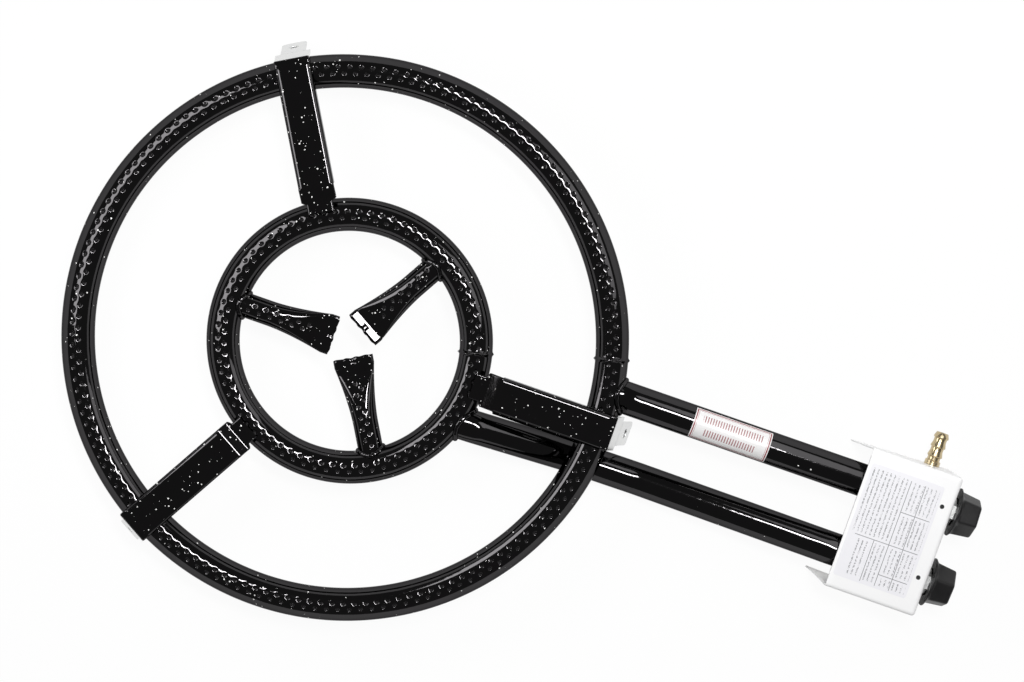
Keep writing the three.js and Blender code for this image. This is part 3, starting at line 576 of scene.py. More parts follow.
def rounded(corners: Array, radii: list[float], steps: int = 6) -> Array:
    """Rounds the inner corners of an open line.

    Each corner gives way to an arc that touches both of its sides: it starts its radius times
    the tangent of half the turn before the corner, and turns about the point a radius to the side.

    Args:
        corners: points, two coordinates each.
        radii: one radius for each inner corner.
        steps: segments in an arc.

    Returns:
        The rounded line's points.
    """
    before, corner, after = corners[:-2], corners[1:-1], corners[2:]
    into = corner - before
    into = into / np.linalg.norm(into, axis=1, keepdims=True)
    out = after - corner
    out = out / np.linalg.norm(out, axis=1, keepdims=True)
    turn = np.arctan2(into[:, 0] * out[:, 1] - into[:, 1] * out[:, 0], (into * out).sum(1))
    radius = np.asarray(radii, float)
    side = np.stack([-into[:, 1], into[:, 0]], 1) * np.sign(turn)[:, None] * radius[:, None]
    centre = corner - into * (radius * np.tan(np.abs(turn) / 2))[:, None] + side
    angle = turn[:, None] * np.linspace(0, 1, steps + 1)
    c, s = np.cos(angle), np.sin(angle)
    x = centre[:, :1] - (c * side[:, :1] - s * side[:, 1:])
    y = centre[:, 1:] - (s * side[:, :1] + c * side[:, 1:])
    arcs = np.stack([x, y], 2).reshape(-1, 2)
    return np.concatenate([corners[:1], arcs, corners[-1:]])


def evenly(line: Array, step: float) -> Array:
    """Points along a line at equal distances.

    Args:
        line: points of any dimension.
        step: wished distance.

    Returns:
        The new points, with both ends kept.
    """
    gone = np.concatenate([[0.0], np.cumsum(np.linalg.norm(np.diff(line, axis=0), axis=1))])
    keep = np.concatenate([[True], np.diff(gone) > 1e-9])
    places = np.linspace(0, gone[-1], max(2, int(round(gone[-1] / step)) + 1))
    return np.stack([np.interp(places, gone[keep], part) for part in line[keep].T], 1)


def tube(path: Array, radius: Array | float, sides: int, closed: bool = False) -> Array:
    """A round tube about a path.

    Each ring of points is the path's point plus the radius times cosine and sine along two
    directions square to the path: one is the path's direction crossed with a fixed vector that
    it never meets, the other is square to both.

    Args:
        path: points along the middle.
        radius: one for all, or one for each point.
        sides: points in a ring.
        closed: whether the path joins its start.

    Returns:
        A grid of points: path by sides.
    """
    if closed:
        along = np.roll(path, -1, axis=0) - np.roll(path, 1, axis=0)
    else:
        along = np.gradient(path, axis=0)
    along = along / np.linalg.norm(along, axis=1, keepdims=True)
    fixed = np.array([0.0, 1.0, 0.0]) if np.abs(along[:, 1]).max() < 0.95 else np.array([0.1, 0.05, 1.0])
    first = np.cross(along, fixed)
    first = first / np.linalg.norm(first, axis=1, keepdims=True)
    second = np.cross(along, first)
    angle = np.linspace(0, 2 * math.pi, sides, endpoint=False)
    spread = np.broadcast_to(np.asarray(radius, float), (len(path),))[:, None, None]
    ring = np.cos(angle)[None, :, None] * first[:, None] + np.sin(angle)[None, :, None] * second[:, None]
    return path[:, None] + spread * ring


def uneven(place: Array, waves: Waves) -> Array:
    """1 plus a few sine waves over a place, which keep a weld from looking even."""
    swell = np.ones_like(place)
    for size, count, lead in waves:
        swell = swell + size * np.sin(place * count + lead)
    return swell


def turn_z(points: Array, angle: float, shift: float = 0.0) -> Array:
    """Turns points about the Z axis and then moves them along X.

    Args:
        points: any array whose last axis holds three coordinates.
        angle: degrees.
        shift: millimetres.

    Returns:
        The turned points.
    """
    c, s = math.cos(math.radians(angle)), math.sin(math.radians(angle))
    x, y = points[..., 0], points[..., 1]
    return np.stack([x * c - y * s + shift, x * s + y * c, points[..., 2]], -1)


def pose(axes: Array, place: Array | tuple[float, float, float]) -> Matrix:
    """An object's matrix.

    Args:
        axes: its own axes as columns.
        place: its origin.

    Returns:
        The matrix.
    """
    matrix = np.eye(4)
    matrix[:3, :3] = axes
    matrix[:3, 3] = place
    return Matrix(matrix.tolist())


def smooth_step(value: Array, low: float, high: float) -> Array:
    """3t2 - 2t3 of the share of the way from low to high, held at 0 and 1."""
    t = np.clip((value - low) / (high - low), 0.0, 1.0)
    return t * t * (3 - 2 * t)


@dataclass(frozen=True)
class Sheet:
    """Modifiers that finish an open surface: its wall and its edge rounding, in millimetres."""

    thickness: float
    edge: float


class Workshop:
    """Puts meshes into the scene, dresses them and ties them to the frame."""

    def __init__(self, frame: dict) -> None:
        """Keeps the loaded frame and an empty palette."""
        self.frame = frame
        self.palette = Palette()

    def piece(
        self,
        name: str,
        points: Array,
        faces: Array | list,
        finish: object,
        body: str = ROOT,
        replaces: tuple[str, ...] = (),
        marks: dict[str, Array] | None = None,
        uv: Array | None = None,
        sheet: Sheet | None = None,
        sharp: float = 38.0,
    ) -> bpy.types.Object:
        """Makes one visible piece.

        Args:
            name: the piece's name.
            points: points in millimetres about the ring centre.
            faces: point numbers.
            finish: its finish.
            body: the frame body that it rides on.
            replaces: nodes of the frame that it stands for.
            marks: numbers stored on its points.
            uv: one pair for each point, for a map named sticker.
            sheet: wall and edge, where it is an open surface.
            sharp: degrees past which an edge stays sharp.

        Returns:
            The object.
        """
        mesh = bpy.data.meshes.new(name)
        placed = (np.asarray(points, float).reshape(-1, 3) + RING_CENTRE) * MILLIMETRE
        listed = faces.tolist() if isinstance(faces, np.ndarray) else faces
        mesh.from_pydata(placed.tolist(), [], listed)
        for key, numbers in (marks or {}).items():
            layer = mesh.attributes.new(key, "FLOAT", "POINT")
            layer.data.foreach_set("value", np.asarray(numbers, np.float32).ravel())
        if uv is not None:
            layer = mesh.uv_layers.new(name="sticker")
            corner = np.empty(len(mesh.loops), np.int32)
            mesh.loops.foreach_get("vertex_index", corner)
            layer.data.foreach_set("uv", np.asarray(uv, np.float32).reshape(-1, 2)[corner].ravel())
        work = bmesh.new()
        work.from_mesh(mesh)
        bmesh.ops.remove_doubles(work, verts=work.verts, dist=1e-7)
        bmesh.ops.recalc_face_normals(work, faces=work.faces)
        work.to_mesh(mesh)
        work.free()
        mesh.shade_smooth()
        mesh.set_sharp_from_angle(angle=math.radians(sharp))
        made = bpy.data.objects.new(name, mesh)
        bpy.context.scene.collection.objects.link(made)
        made.data.materials.append(self.palette.get(finish))
        if sheet:
            wall = made.modifiers.new("wall", "SOLIDIFY")
            wall.thickness = sheet.thickness * MILLIMETRE
            wall.offset = 0.0
            wall.use_even_offset = True
            edge = made.modifiers.new("edge", "BEVEL")
            edge.width = sheet.edge * MILLIMETRE
            edge.segments = 2
            edge.limit_method = "ANGLE"
            edge.angle_limit = math.radians(50)
        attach(made, body)
        if replaces:
            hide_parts(*replaces)
        LOG.info("%s: %d faces", name, len(mesh.polygons))
        return made

    def dress(self, nodes: list[str], finish: object) -> None:
        """Gives nodes of the frame a finish.

        Args:
            nodes: their names.
            finish: what they are made of.
        """
        for node in nodes:
            held = self.frame["nodes"][node]
            if not held.material_slots:
                held.data.materials.append(None)
            for slot in held.material_slots:
                slot.link = "OBJECT"
                slot.material = self.palette.get(finish)


# Burner tubes.


@dataclass(frozen=True)
class Ports:
    """Two staggered rows of flame ports beside a tube's crown."""

    pitch: float
    row_gap: float = 4.6
    dimple_radius: float = 2.6
    dimple_depth: float = 0.33
    hole_radius: float = 0.95
    hole_depth: float = 1.5

    def nearest(self, along: Array, across: Array) -> Array:
        """Distance to the nearest port.

        In each row the ports stand a share of the pitch past whole numbers of pitches, so
        rounding the place in pitches names the nearest one.

        Args:
            along: distance along the tube.
            across: distance from its crown.

        Returns:
            The distance.
        """
        rows = []
        for side, late in ((0.5, 0.25), (-0.5, 0.75)):
            step = along / self.pitch - late
            gap = (step - np.round(step)) * self.pitch
            rows.append(np.hypot(gap, across - side * self.row_gap))
        return np.minimum(rows[0], rows[1])

    def dip(self, along: Array, across: Array) -> tuple[Array, Array]:
        """Depth of the surface and share of it that is inside a hole.

        A dimple is half a cosine wave over its radius, and the hole in it drops by a smooth step.

        Args:
            along: distance along the tube.
            across: distance from its crown.

        Returns:
            The depth and the hole's share.
        """
        away = self.nearest(along, across)
        dimple = 0.5 + 0.5 * np.cos(math.pi * np.clip(away / self.dimple_radius, 0, 1))
        hole = 1.0 - smooth_step(away, self.hole_radius * 0.75, self.hole_radius * 1.25)
        return self.dimple_depth * dimple + self.hole_depth * hole, hole


@dataclass
class BurnerRing:
    """A ring of tube with its flame ports and its butt weld."""

    name: str
    radius: float
    shift: float
    weld_angle: float
    ports: int
    sections: int
    layout: Layout = LAYOUT
    weld_height: float = 1.25
    weld_width: float = 0.95
    weld_waves: Waves = ((0.25, 0.9, 0.0), (0.15, 2.3, 1.0))
    calm: float = 4.0  # distance from the weld over which the ports fade out
    fine_reach: float = 5.4  # distance from the crown that is meshed finely
    fine_step: float = 0.45
    coarse_columns: int = 24
    narrowing: float = 0.999  # along Y, so that the dressed ring stays inside its node

    def grid(self) -> tuple[Array, Array]:
        """The ring's surface.

        A point at angle u round the ring and at distance v round the tube from its crown lies
        at (R + r sin(v/t)) (cos u, sin u) and height r cos(v/t), where t is the tube's radius
        and r is t less the ports' dip plus the weld's bell curve.

        Returns:
            The points and the holes' share.
        """
        t = self.layout.tube_radius
        fine = np.arange(-self.fine_reach, self.fine_reach + self.fine_step / 2, self.fine_step)
        rest = np.linspace(self.fine_reach, 2 * math.pi * t - self.fine_reach, self.coarse_columns + 2)
        v = np.concatenate([fine, rest[1:-1]])[None, :]
        u = np.linspace(0, 2 * math.pi, self.sections, endpoint=False)[:, None]
        along = u * self.radius
        near = np.where(v > math.pi * t, v - 2 * math.pi * t, v)
        dip, hole = Ports(2 * math.pi * self.radius / self.ports).dip(along, near)
        gap = (u - math.radians(self.weld_angle)) * self.radius
        weld = self.weld_height * uneven(near, self.weld_waves) * np.exp(-((gap / self.weld_width) ** 2))
        r = t - dip * (1 - np.exp(-((gap / self.calm) ** 4))) + weld
        out = self.radius + r * np.sin(v / t)
        points = [out * np.cos(u) + self.shift, out * np.sin(u) * self.narrowing, r * np.cos(v / t)]
        return np.stack(np.broadcast_arrays(*points), -1), hole

    def build(self, shop: Workshop) -> None:
        """Makes the ring in place of its node."""
        points, hole = self.grid()
        faces = quads(*points.shape[:2], True, True)
        shop.piece(self.name + "_tube", points, faces, RING_ENAMEL,
                   replaces=(self.name,), marks={"hole": hole}, sharp=70.0)


@dataclass
class WeldBead:
    """A fillet weld where a tube along X meets a ring, inside or outside it."""

    name: str
    ring_radius: float
    shift: float
    tube_radius: float
    place: float
    outside: bool
    bead: float
    angle: float = 0.0
    height: float = 1.0  # share of the tube's radius that is left upward and downward
    waves: Waves = ((0.07, 9.0, 0.0), (0.04, 22.0, 1.0))
    steps: int = 120
    sides: int = 14
    layout: Layout = LAYOUT

    def build(self, shop: Workshop) -> None:
        """Lays the bead along the line where both tubes meet.

        A point of the joining tube at angle a lies r cos a aside and r sin a times its height's
        share up. The ring's surface there is R plus or minus the root of (t2 - z2) from the
        axis, and Pythagoras gives the distance along X.
        """
        t = self.layout.tube_radius
        a = np.linspace(0, 2 * math.pi, self.steps, endpoint=False)
        side = self.tube_radius * np.cos(a)
        z = self.tube_radius * self.height * np.sin(a) * 0.999
        depth = np.sqrt(np.maximum(t * t - z * z, 0.0)) * (1 if self.outside else -1)
        x = np.sqrt((self.ring_radius + depth) ** 2 - (self.place + side) ** 2)
        path = np.stack([x, self.place + side, z], 1)
        swell = self.bead * uneven(a, self.waves)
        points = turn_z(tube(path, swell, self.sides, closed=True), self.angle, self.shift)
        faces = quads(self.steps, self.sides, True, True)
        shop.piece(self.name, points, faces, RING_ENAMEL, sharp=80.0)


@dataclass
class FeedTube:
    """A feed tube with its bore, straight or dipping under the outer ring."""

    name: str
    line: Array
    radii: list[float]
    place: float
    splay: float = 0.0
    layout: Layout = LAYOUT
    sides: int = 48
    lip: float = 0.4
    neck: float = NECK
    neck_length: float = 10.0

    def build(self, shop: Workshop) -> None:
        """Sweeps the outside to the mouth and the bore back again, so the shell is closed.

        The end at the ring is pressed down, so that it meets the ring below its crown.
        """
        t, wall = self.layout.tube_radius, self.layout.tube_wall
        flat = evenly(rounded(self.line, self.radii, 14) if self.radii else self.line, 2.0)
        path = np.stack([flat[:, 0] - self.layout.feed_end, np.zeros(len(flat)), flat[:, 1]], 1)
        path[-1, 0] -= self.lip
        mouth = path[-1] + np.array([self.lip, 0, 0])
        route = np.concatenate([path, [mouth, mouth + [1e-3, 0, 0]], path[::-1]])
        drawn = 1 - smooth_step(path[:, 0] - path[0, 0], self.neck_length, self.neck_length * 2)
        height = 1 - (1 - self.neck) * drawn
        height = np.concatenate([height, [1.0, 1.0], height[::-1]])
        outside, bore = np.full(len(path), t), np.full(len(path), t - wall)
        radius = np.concatenate([outside, [t - self.lip, t - wall], bore])
        rings = self._rings(route, radius, height, len(path))
        points = turn_z(rings, self.splay, self.layout.feed_end) + [0.0, self.place, 0.0]
        shop.piece(self.name + "_pipe", points, quads(len(route), self.sides, True, True),
                   FEED_ENAMEL, replaces=(self.name,))

    def _rings(self, route: Array, radius: Array, height: Array, outer: int) -> Array:
        """Rings of points square to the route, with the way back on the same directions.

        Args:
            route: points out along the outside and back along the bore.
            radius: one for each point.
            height: share of the radius that is left upward and downward.
            outer: how many points lead out.

        Returns:
            A grid of points.
        """
        along = np.gradient(route[:outer], axis=0)
        along = np.concatenate([along, np.tile([[1.0, 0, 0]], (2, 1)), along[::-1]])
        along = along / np.linalg.norm(along, axis=1, keepdims=True)
        up = np.stack([-along[:, 2], np.zeros(len(along)), along[:, 0]], 1)
        angle = np.linspace(0, 2 * math.pi, self.sides, endpoint=False)
        aside = np.array([0.0, 1.0, 0.0])
        upward = np.cos(angle)[None, :, None] * (up * height[:, None])[:, None]
        return route[:, None] + radius[:, None, None] * (upward + np.sin(angle)[None, :, None] * aside)


@dataclass
class CentreArm:
    """A centre burner arm: a tube whose tip is pressed to a flat, closed lip."""

    number: int
    angle: float
    lip_tilt: float = 0.0
    layout: Layout = LAYOUT
    radius: float = 8.9
    lip_width: float = 28.5
    lip_height: float = 3.6
    lip_length: float = 5.7
    tip: float = 11.7
    flare: float = 42.0
    power: float = 1.7
    ports: Ports = Ports(8.0, row_gap=3.9, dimple_radius=2.25, dimple_depth=0.33, hole_depth=1.2)
    ports_from: tuple[float, float] = (9.6, 10.4)  # past the lip, where the ports begin
    ports_to: tuple[float, float] = (76.2, 77.0)  # from the inner ring's centre, where they end
    groove: tuple[float, float] = (0.5, 1.6)  # depth and half width, along the lip's middle
    edge_drop: tuple[float, float] = (0.7, 0.8)  # depth and reach, at the lip's edge
    ripple: tuple[float, float] = (0.35, 0.9)  # size and waves per millimetre, along that edge
    pole_depth: float = 0.6
    weld: float = 1.9

    def grid(self) -> tuple[Array, Array]:
        """The arm's surface.

        Each section is two half circles joined by flats. Going from the lip to the tube, the
        half circles grow from nothing to the tube's radius while the flats shrink from the
        lip's width to nothing, so the girth hardly changes, as when a real tube is pressed.

        Returns:
            The points and the holes' share.
        """
        start = self.tip + self.lip_length
        distance = np.concatenate([
            np.linspace(self.tip, start, 12, endpoint=False),
            np.arange(start, self.layout.inner_radius + 0.3, 0.6),
        ])[:, None]
        pressed = np.clip((start + self.flare - distance) / self.flare, 0, 1) ** self.power
        half = np.maximum(self.radius * (1 - pressed), self.lip_height / 2)
        flat = np.maximum(self.lip_width / 2 * pressed + self.radius * (1 - pressed) - half, 0)
        fine = np.linspace(-0.2, 0.2, 27)
        rest = np.linspace(0.2, 1.8, 46)[1:-1]
        share = np.concatenate([fine, rest])[None, :]
        share = np.where(share > 1, share - 2, share)
        girth = 2 * flat + math.pi * half
        s = np.abs(share) * girth
        bend = np.clip((s - flat) / half, 0, math.pi)
        over = np.clip(s - flat - math.pi * half, 0, None)
        side = np.minimum(s, flat) + half * np.sin(bend) - over
        up = half * np.cos(bend)
        row = np.sign(share) * side
        dip, hole = self.ports.dip(distance, row)
        first, last = self.ports_from
        ported = smooth_step(distance, start + first, start + last)
        ported = ported * (1 - smooth_step(distance, *self.ports_to))
        top = (up > half * 0.6) * ported
        lean = np.clip(start + 1 - distance, 0, None) * math.tan(math.radians(self.lip_tilt))
        depth, width = self.groove
        crimp = depth * np.exp(-((row / width) ** 2)) * (distance < start - 1) * (up > 0)
        depth, reach = self.edge_drop
        crimp = crimp + depth * np.exp(-(((distance - self.tip) / reach) ** 2)) * np.sign(up)
        z = up - dip * top - lean - crimp
        size, waves = self.ripple
        x = distance + size * np.sin(row * waves + self.number) * (distance < self.tip + 1)
        return np.stack(np.broadcast_arrays(x, row, z), -1), hole * top

    def build(self, shop: Workshop) -> None:
        """Makes the arm in place of its node, with a pole to close each end."""
        points, hole = self.grid()
        rows, columns = points.shape[:2]
        ends = [np.repeat(points[i].mean(0, keepdims=True), columns, 0)[None] for i in (0, -1)]
        ends[0][..., 0] += self.pole_depth
        points = np.concatenate([ends[0], points, ends[1]])
        hole = np.concatenate([hole[:1] * 0, hole, hole[:1] * 0])
        shop.piece(
            f"center_arm_{self.number}", turn_z(points, self.angle, self.layout.inner_shift),
            quads(rows + 2, columns, False, True), ARM_ENAMEL,
            replaces=(f"center_spoke_{self.number}",), marks={"hole": hole}, sharp=60.0,
        )
        WeldBead(f"center_arm_weld_{self.number}", self.layout.inner_radius, self.layout.inner_shift,
                 self.radius, 0.0, False, self.weld, self.angle).build(shop)


# Pan supports and brackets.


@dataclass
class BracketLine:
    """Where the leaning plate of a leg bracket and its bend are, seen from the side."""

    layout: Layout = LAYOUT
    lean: float = 16.5
    sheet: float = 1.5
    inside_bend: float = 1.5
    gap: float = 0.3
    support_top: float = 16.5
    support_sheet: float = 1.8

    @property
    def flange(self) -> float:
        """Middle height of the bracket's flange."""
        return self.support_top - self.support_sheet - self.gap - self.sheet / 2

    def place(self, z: float) -> float:
        """Distance from the ring's centre to the plate's middle at a height."""
        lean = math.radians(self.lean)
        reach = self.layout.tube_radius + self.gap + self.sheet / 2
        return self.layout.outer_radius + reach / math.cos(lean) - z * math.tan(lean)

    def bend_centre(self) -> tuple[float, float]:
        """Centre of the bend."""
        radius = self.inside_bend + self.sheet / 2
        z = self.flange - radius
        return self.place(z) - radius / math.cos(math.radians(self.lean)), z


@dataclass
class PanSupport:
    """A folded channel that carries the pan, curled over its bracket at the outer end."""

    number: int
    angle: float
    bracket: BracketLine = field(default_factory=BracketLine)
    layout: Layout = LAYOUT
    width: float = 25.0
    depth: float = 10.0
    bend: float = 2.1
    lap: float = 9.0
    tongue_width: float = 18.6
    curl: float = 40.0
    flare: float = 0.0  # how far the lower edge of the wall on the -Y side leans out
    foot_gap: float = 1.2  # from the inner ring to the slope
    slope: float = 7.6
    fold_radius: float = 3.0
    step: float = 0.5
    widening: tuple[float, float] = (-2.6, -0.6)  # past the foot, where the tongue widens
    wall_start: tuple[float, float] = (0.6, 1.8)  # past the fold
    wall_end: tuple[float, float] = (-2.6, -1.6)  # past the curl's start
    least_drop: float = 0.05
    least_bend: float = 0.4
    stud_place: float = 168.876  # from the outer ring's centre
    stud_radius: float = 2.5
    stud_length: float = 10.5
    stud_sides: int = 24

    def build(self, shop: Workshop) -> None:
        """Carries the channel's section along its side view.

        The side view is one line: tongue, slope, level web and curl. Across it the section runs
        over the web, round a quarter circle at each edge and down the side wall. The wall's
        height falls to nothing where the web goes on alone.
        """
        inner = self.layout.inner_shift
        turn = math.radians(self.angle)
        aside = self.layout.aside(self.angle)
        edge = self.layout.inner_radius + self.layout.tube_radius
        ring_edge = inner * math.cos(turn) + math.sqrt(edge ** 2 - (inner * math.sin(turn) + aside) ** 2)
        sheet = self.bracket.support_sheet
        middle = self.bracket.support_top - sheet / 2
        tongue = self.layout.tube_radius + self.bracket.gap + sheet / 2
        foot = ring_edge + self.foot_gap
        fold = foot + self.slope
        centre, height = self.bracket.bend_centre()
        radius = middle - height
        curl = math.radians(self.curl)
        reach = radius * math.tan(curl / 2)
        corner = centre + reach
        end = (corner + reach * math.cos(curl), middle - reach * math.sin(curl))
        start = (ring_edge - self.lap, tongue)
        corners = np.array([start, (foot, tongue), (fold, middle), (corner, middle), end])
        line = evenly(rounded(corners, [self.fold_radius, self.fold_radius, radius]), self.step)
        along = np.gradient(line, axis=0)
        along = along / np.linalg.norm(along, axis=1, keepdims=True)
        x = line[:, 0]
        half = (self.width - sheet) / 2
        narrow = (self.tongue_width - sheet) / 2
        spread = narrow + (half - narrow) * smooth_step(x, *(foot + np.array(self.widening)))
        walled = smooth_step(x, *(fold + np.array(self.wall_start)))
        walled = walled * (1 - smooth_step(x, *(centre + np.array(self.wall_end))))
        y, low = self._section(spread, walled)
        nx, nz = along[:, 1][:, None], -along[:, 0][:, None]
        points = np.stack([x[:, None] + nx * low, y + aside, line[:, 1][:, None] + nz * low], -1)
        shop.piece(
            f"pan_support_plate_{self.number}", turn_z(points, self.angle), quads(*points.shape[:2]),
            ARM_ENAMEL, replaces=(f"pan_support_{self.number}",),
            sheet=Sheet(sheet, 0.35), sharp=60.0,
        )
        self._stud(shop, aside, middle)

    def _section(self, spread: Array, walled: Array) -> tuple[Array, Array]:
        """The section across each point of the line: wall, edge, web, edge and wall.

        Args:
            spread: half of its width.
            walled: share of the walls' height.

        Returns:
            Place across and depth below the line, both line by section.
        """
        drop = self.least_drop + (self.depth - self.bracket.support_sheet / 2 - self.bend) * walled
        bend = self.least_bend + (self.bend - self.least_bend) * walled
        quarter = np.linspace(0, math.pi / 2, 7)[1:]
        down = np.linspace(0, 1, 5)[1:]
        rows = []
        for sign in (-1, 1):
            side = sign * (spread[:, None] - bend[:, None] * (1 - np.sin(quarter)))
            low = bend[:, None] * (1 - np.cos(quarter))
            out = spread[:, None] + (self.flare if sign < 0 else 0.0) * walled[:, None] * down
            wall_low = bend[:, None] + drop[:, None] * down
            rows.append((np.concatenate([side, sign * out], 1), np.concatenate([low, wall_low], 1)))
        web = np.linspace(-1, 1, 15)[None] * (spread - bend)[:, None]
        y = np.concatenate([rows[0][0][:, ::-1], web, rows[1][0]], 1)
        return y, np.concatenate([rows[0][1][:, ::-1], web * 0, rows[1][1]], 1)

    def _stud(self, shop: Workshop, aside: float, top: float) -> None:
        """Makes the welded stud that the bracket's nut goes on.

        Args:
            shop: where it is made.
            aside: distance of its axis from the support's ray.
            top: height of its upper end.
        """
        ends = np.array([(self.stud_place, aside, top), (self.stud_place, aside, top - self.stud_length)])
        stud = tube(ends, self.stud_radius, self.stud_sides)
        cap = stud[-1].mean(0) + np.zeros((1, self.stud_sides, 3))
        shop.piece(f"pan_support_stud_{self.number}", turn_z(np.concatenate([stud, cap]), self.angle),
                   quads(3, self.stud_sides, False, True), BARE_STEEL)


@dataclass
class LegBracket:
    """A zinc-plated bracket: flange under the support, bend, leaning plate with the leg's hole."""

    number: int
    angle: float
    line: BracketLine = field(default_factory=BracketLine)
    layout: Layout = LAYOUT
    width: float = 25.0
    tab_width: float = 18.0
    tab_corner: float = 3.5
    flange_width: float = 19.0
    flange_length: float = 39.0
    shoulder: float = 12.15
    step: float = -7.85
    hole_radius: float = 3.5
    hole_height: float = 13.0
    half_sheet: float = 0.77  # with a little room, so that the plate's foot stays over the floor

    def side_view(self, s: Array) -> tuple[Array, Array]:
        """Places down the leaning plate.

        Args:
            s: distance from the hole's centre, down the plate.

        Returns:
            X and Z.
        """
        lean = math.radians(self.line.lean)
        z = self.layout.floor + self.hole_height
        x = self.line.place(z)
        return x + s * math.sin(lean), z - s * math.cos(lean)

    def tab(self) -> tuple[Array, Array]:
        """The plate round the hole.

        From the hole's edge to the outline at the same angle, points lie at even shares of the
        way. The outline is a rectangle with rounded lower corners: the nearest of its sides
        along the ray, pulled in to the corner's circle.

        Returns:
            The points and the faces.
        """
        lean = math.cos(math.radians(self.line.lean))
        low = (self.hole_height - self.half_sheet * math.sin(math.radians(self.line.lean))) / lean
        high = (self.step - self.layout.floor - self.hole_height) / lean
        half, corner = self.tab_width / 2, self.tab_corner
        key = np.arctan2([half, half, -half, -half], [high, -low, -low, high])
        even = np.linspace(-math.pi, math.pi, 120, endpoint=False)
        apart = np.abs(even[:, None] - key[None]).min(1) > math.radians(1.0)
        angle = np.sort(np.concatenate([even[apart], key]))
        c, s = np.cos(angle), np.sin(angle)
        with np.errstate(divide="ignore"):
            reach = np.minimum(half / np.abs(s), np.where(c > 0, high / c, low / -c))
        y, down = reach * s, -reach * c
        over_y = np.abs(y) - (half - corner)
        over_s = down - (low - corner)
        away = np.hypot(over_y, over_s)
        inside = (over_y > 0) & (over_s > 0) & (away > corner)
        y = np.where(inside, np.sign(y) * (half - corner + over_y / np.maximum(away, 1e-9) * corner), y)
        down = np.where(inside, low - corner + over_s / np.maximum(away, 1e-9) * corner, down)
        share = np.linspace(0, 1, 6)[:, None]
        y = self.hole_radius * s * (1 - share) + y * share
        down = -self.hole_radius * c * (1 - share) + down * share
        x, z = self.side_view(down)
        return np.stack([x, y, z], -1), quads(6, len(angle), False, True)

    def upper(self) -> tuple[Array, Array]:
        """The wide part of the plate, the bend and the flange as one strip.

        Returns:
            The points and the faces.
        """
        corners = np.array([
            (self.line.bend_centre()[0] - self.flange_length, self.line.flange),
            (self.line.place(self.line.flange), self.line.flange),
            (self.line.place(self.step), self.step),
        ])
        line = evenly(rounded(corners, [self.line.inside_bend + self.line.sheet / 2]), 0.6)
        wide = self.flange_width / 2 + (self.width - self.flange_width) / 2 * (line[:, 1] < self.shoulder)
        y = np.linspace(-1, 1, 9)[None] * wide[:, None]
        x, z = np.broadcast_to(line[:, :1], y.shape), np.broadcast_to(line[:, 1:], y.shape)
        return np.stack([x, y, z], -1), quads(*y.shape)

    def build(self, shop: Workshop) -> None:
        """Makes both parts of the bracket."""
        tab, tab_faces = self.tab()
        upper, upper_faces = self.upper()
        tab, upper = tab.reshape(-1, 3), upper.reshape(-1, 3)
        points = np.concatenate([tab, upper])
        faces = np.concatenate([tab_faces, upper_faces + len(tab)])
        points[:, 1] += self.layout.aside(self.angle)
        shop.piece(
            f"leg_bracket_plate_{self.number}", turn_z(points, self.angle), faces,
            ZINC_PLATE, replaces=(f"leg_bracket_{self.number}",),
            sheet=Sheet(self.line.sheet, 0.3), sharp=50.0,
        )


# Control box.


@dataclass
class BoxCover:
    """The white cover: top, two side walls, the one on the -Y side slightly bowed, and a front wall in one
    folded sheet.
    """

    layout: Layout = LAYOUT
    sheet: float = 1.2
    round: float = 2.4
    slant: float = 9.4
    lean: float = 2.4
    bow: float = 2.2
    floor_gap: float = 0.05

    def build(self, shop: Workshop) -> None:
        """Projects the faces of a box onto a rounded box.

        A point is held inside a smaller box, and the rest of the way to it is cut to the
        rounding's radius. The rear edge of each side wall then slants, and the walls lean in.
        """
        lay = self.layout
        front, rear = lay.box_front, lay.box_start
        half, top, floor = lay.box_width / 2, lay.box_top, lay.floor + self.floor_gap
        r, wall = self.round, self.sheet / 2
        edge = np.array([0, 0.25, 0.5, 0.75, 1.0]) * r * 1.6
        x = np.concatenate([np.linspace(rear, front - r * 1.7, 16), front - edge[::-1]])
        between = np.linspace(-half + r * 1.7, half - r * 1.7, 24)
        y = np.concatenate([-half + edge, between, half - edge[::-1]])
        z = np.concatenate([np.linspace(floor, top - r * 1.7, 14), top - edge[::-1]])
        patches = [np.stack(np.meshgrid(x, y, [top], indexing="ij"), -1)[:, :, 0]]
        for side in (-half, half):
            patches.append(np.stack(np.meshgrid(x, [side], z, indexing="ij"), -1)[:, 0])
        patches.append(np.stack(np.meshgrid([front], y, z, indexing="ij"), -1)[0])
        points, faces, count = [], [], 0
        for patch in patches:
            points.append(patch.reshape(-1, 3))
            faces.append(quads(*patch.shape[:2]) + count)
            count += patch.shape[0] * patch.shape[1]
        points = np.concatenate(points)
        core = points.copy()
        core[:, 0] = np.minimum(core[:, 0], front - r)
        core[:, 1] = np.clip(core[:, 1], -half + r, half - r)
        core[:, 2] = np.minimum(core[:, 2], top - r)
        away = points - core
        far = np.linalg.norm(away, axis=1, keepdims=True)
        points = core + away / np.maximum(far, 1e-9) * np.minimum(far, r - wall)
        down = (top - points[:, 2]) / (top - floor)
        back = np.clip((front - points[:, 0]) / (front - rear), 0, 1)
        on_side = np.abs(points[:, 1]) > half - r
        points[:, 0] -= self.slant * down * back * on_side
        lean = (self.lean * down + self.bow * down * (1 - down) * (points[:, 1] < 0)) * back
        points[:, 1] -= np.sign(points[:, 1]) * lean * on_side
        shop.piece(
            "control_box_sheet", points, np.concatenate(faces), WHITE_PAINT,
            replaces=("control_box_cover",), sheet=Sheet(self.sheet, 0.25), sharp=50.0,
        )


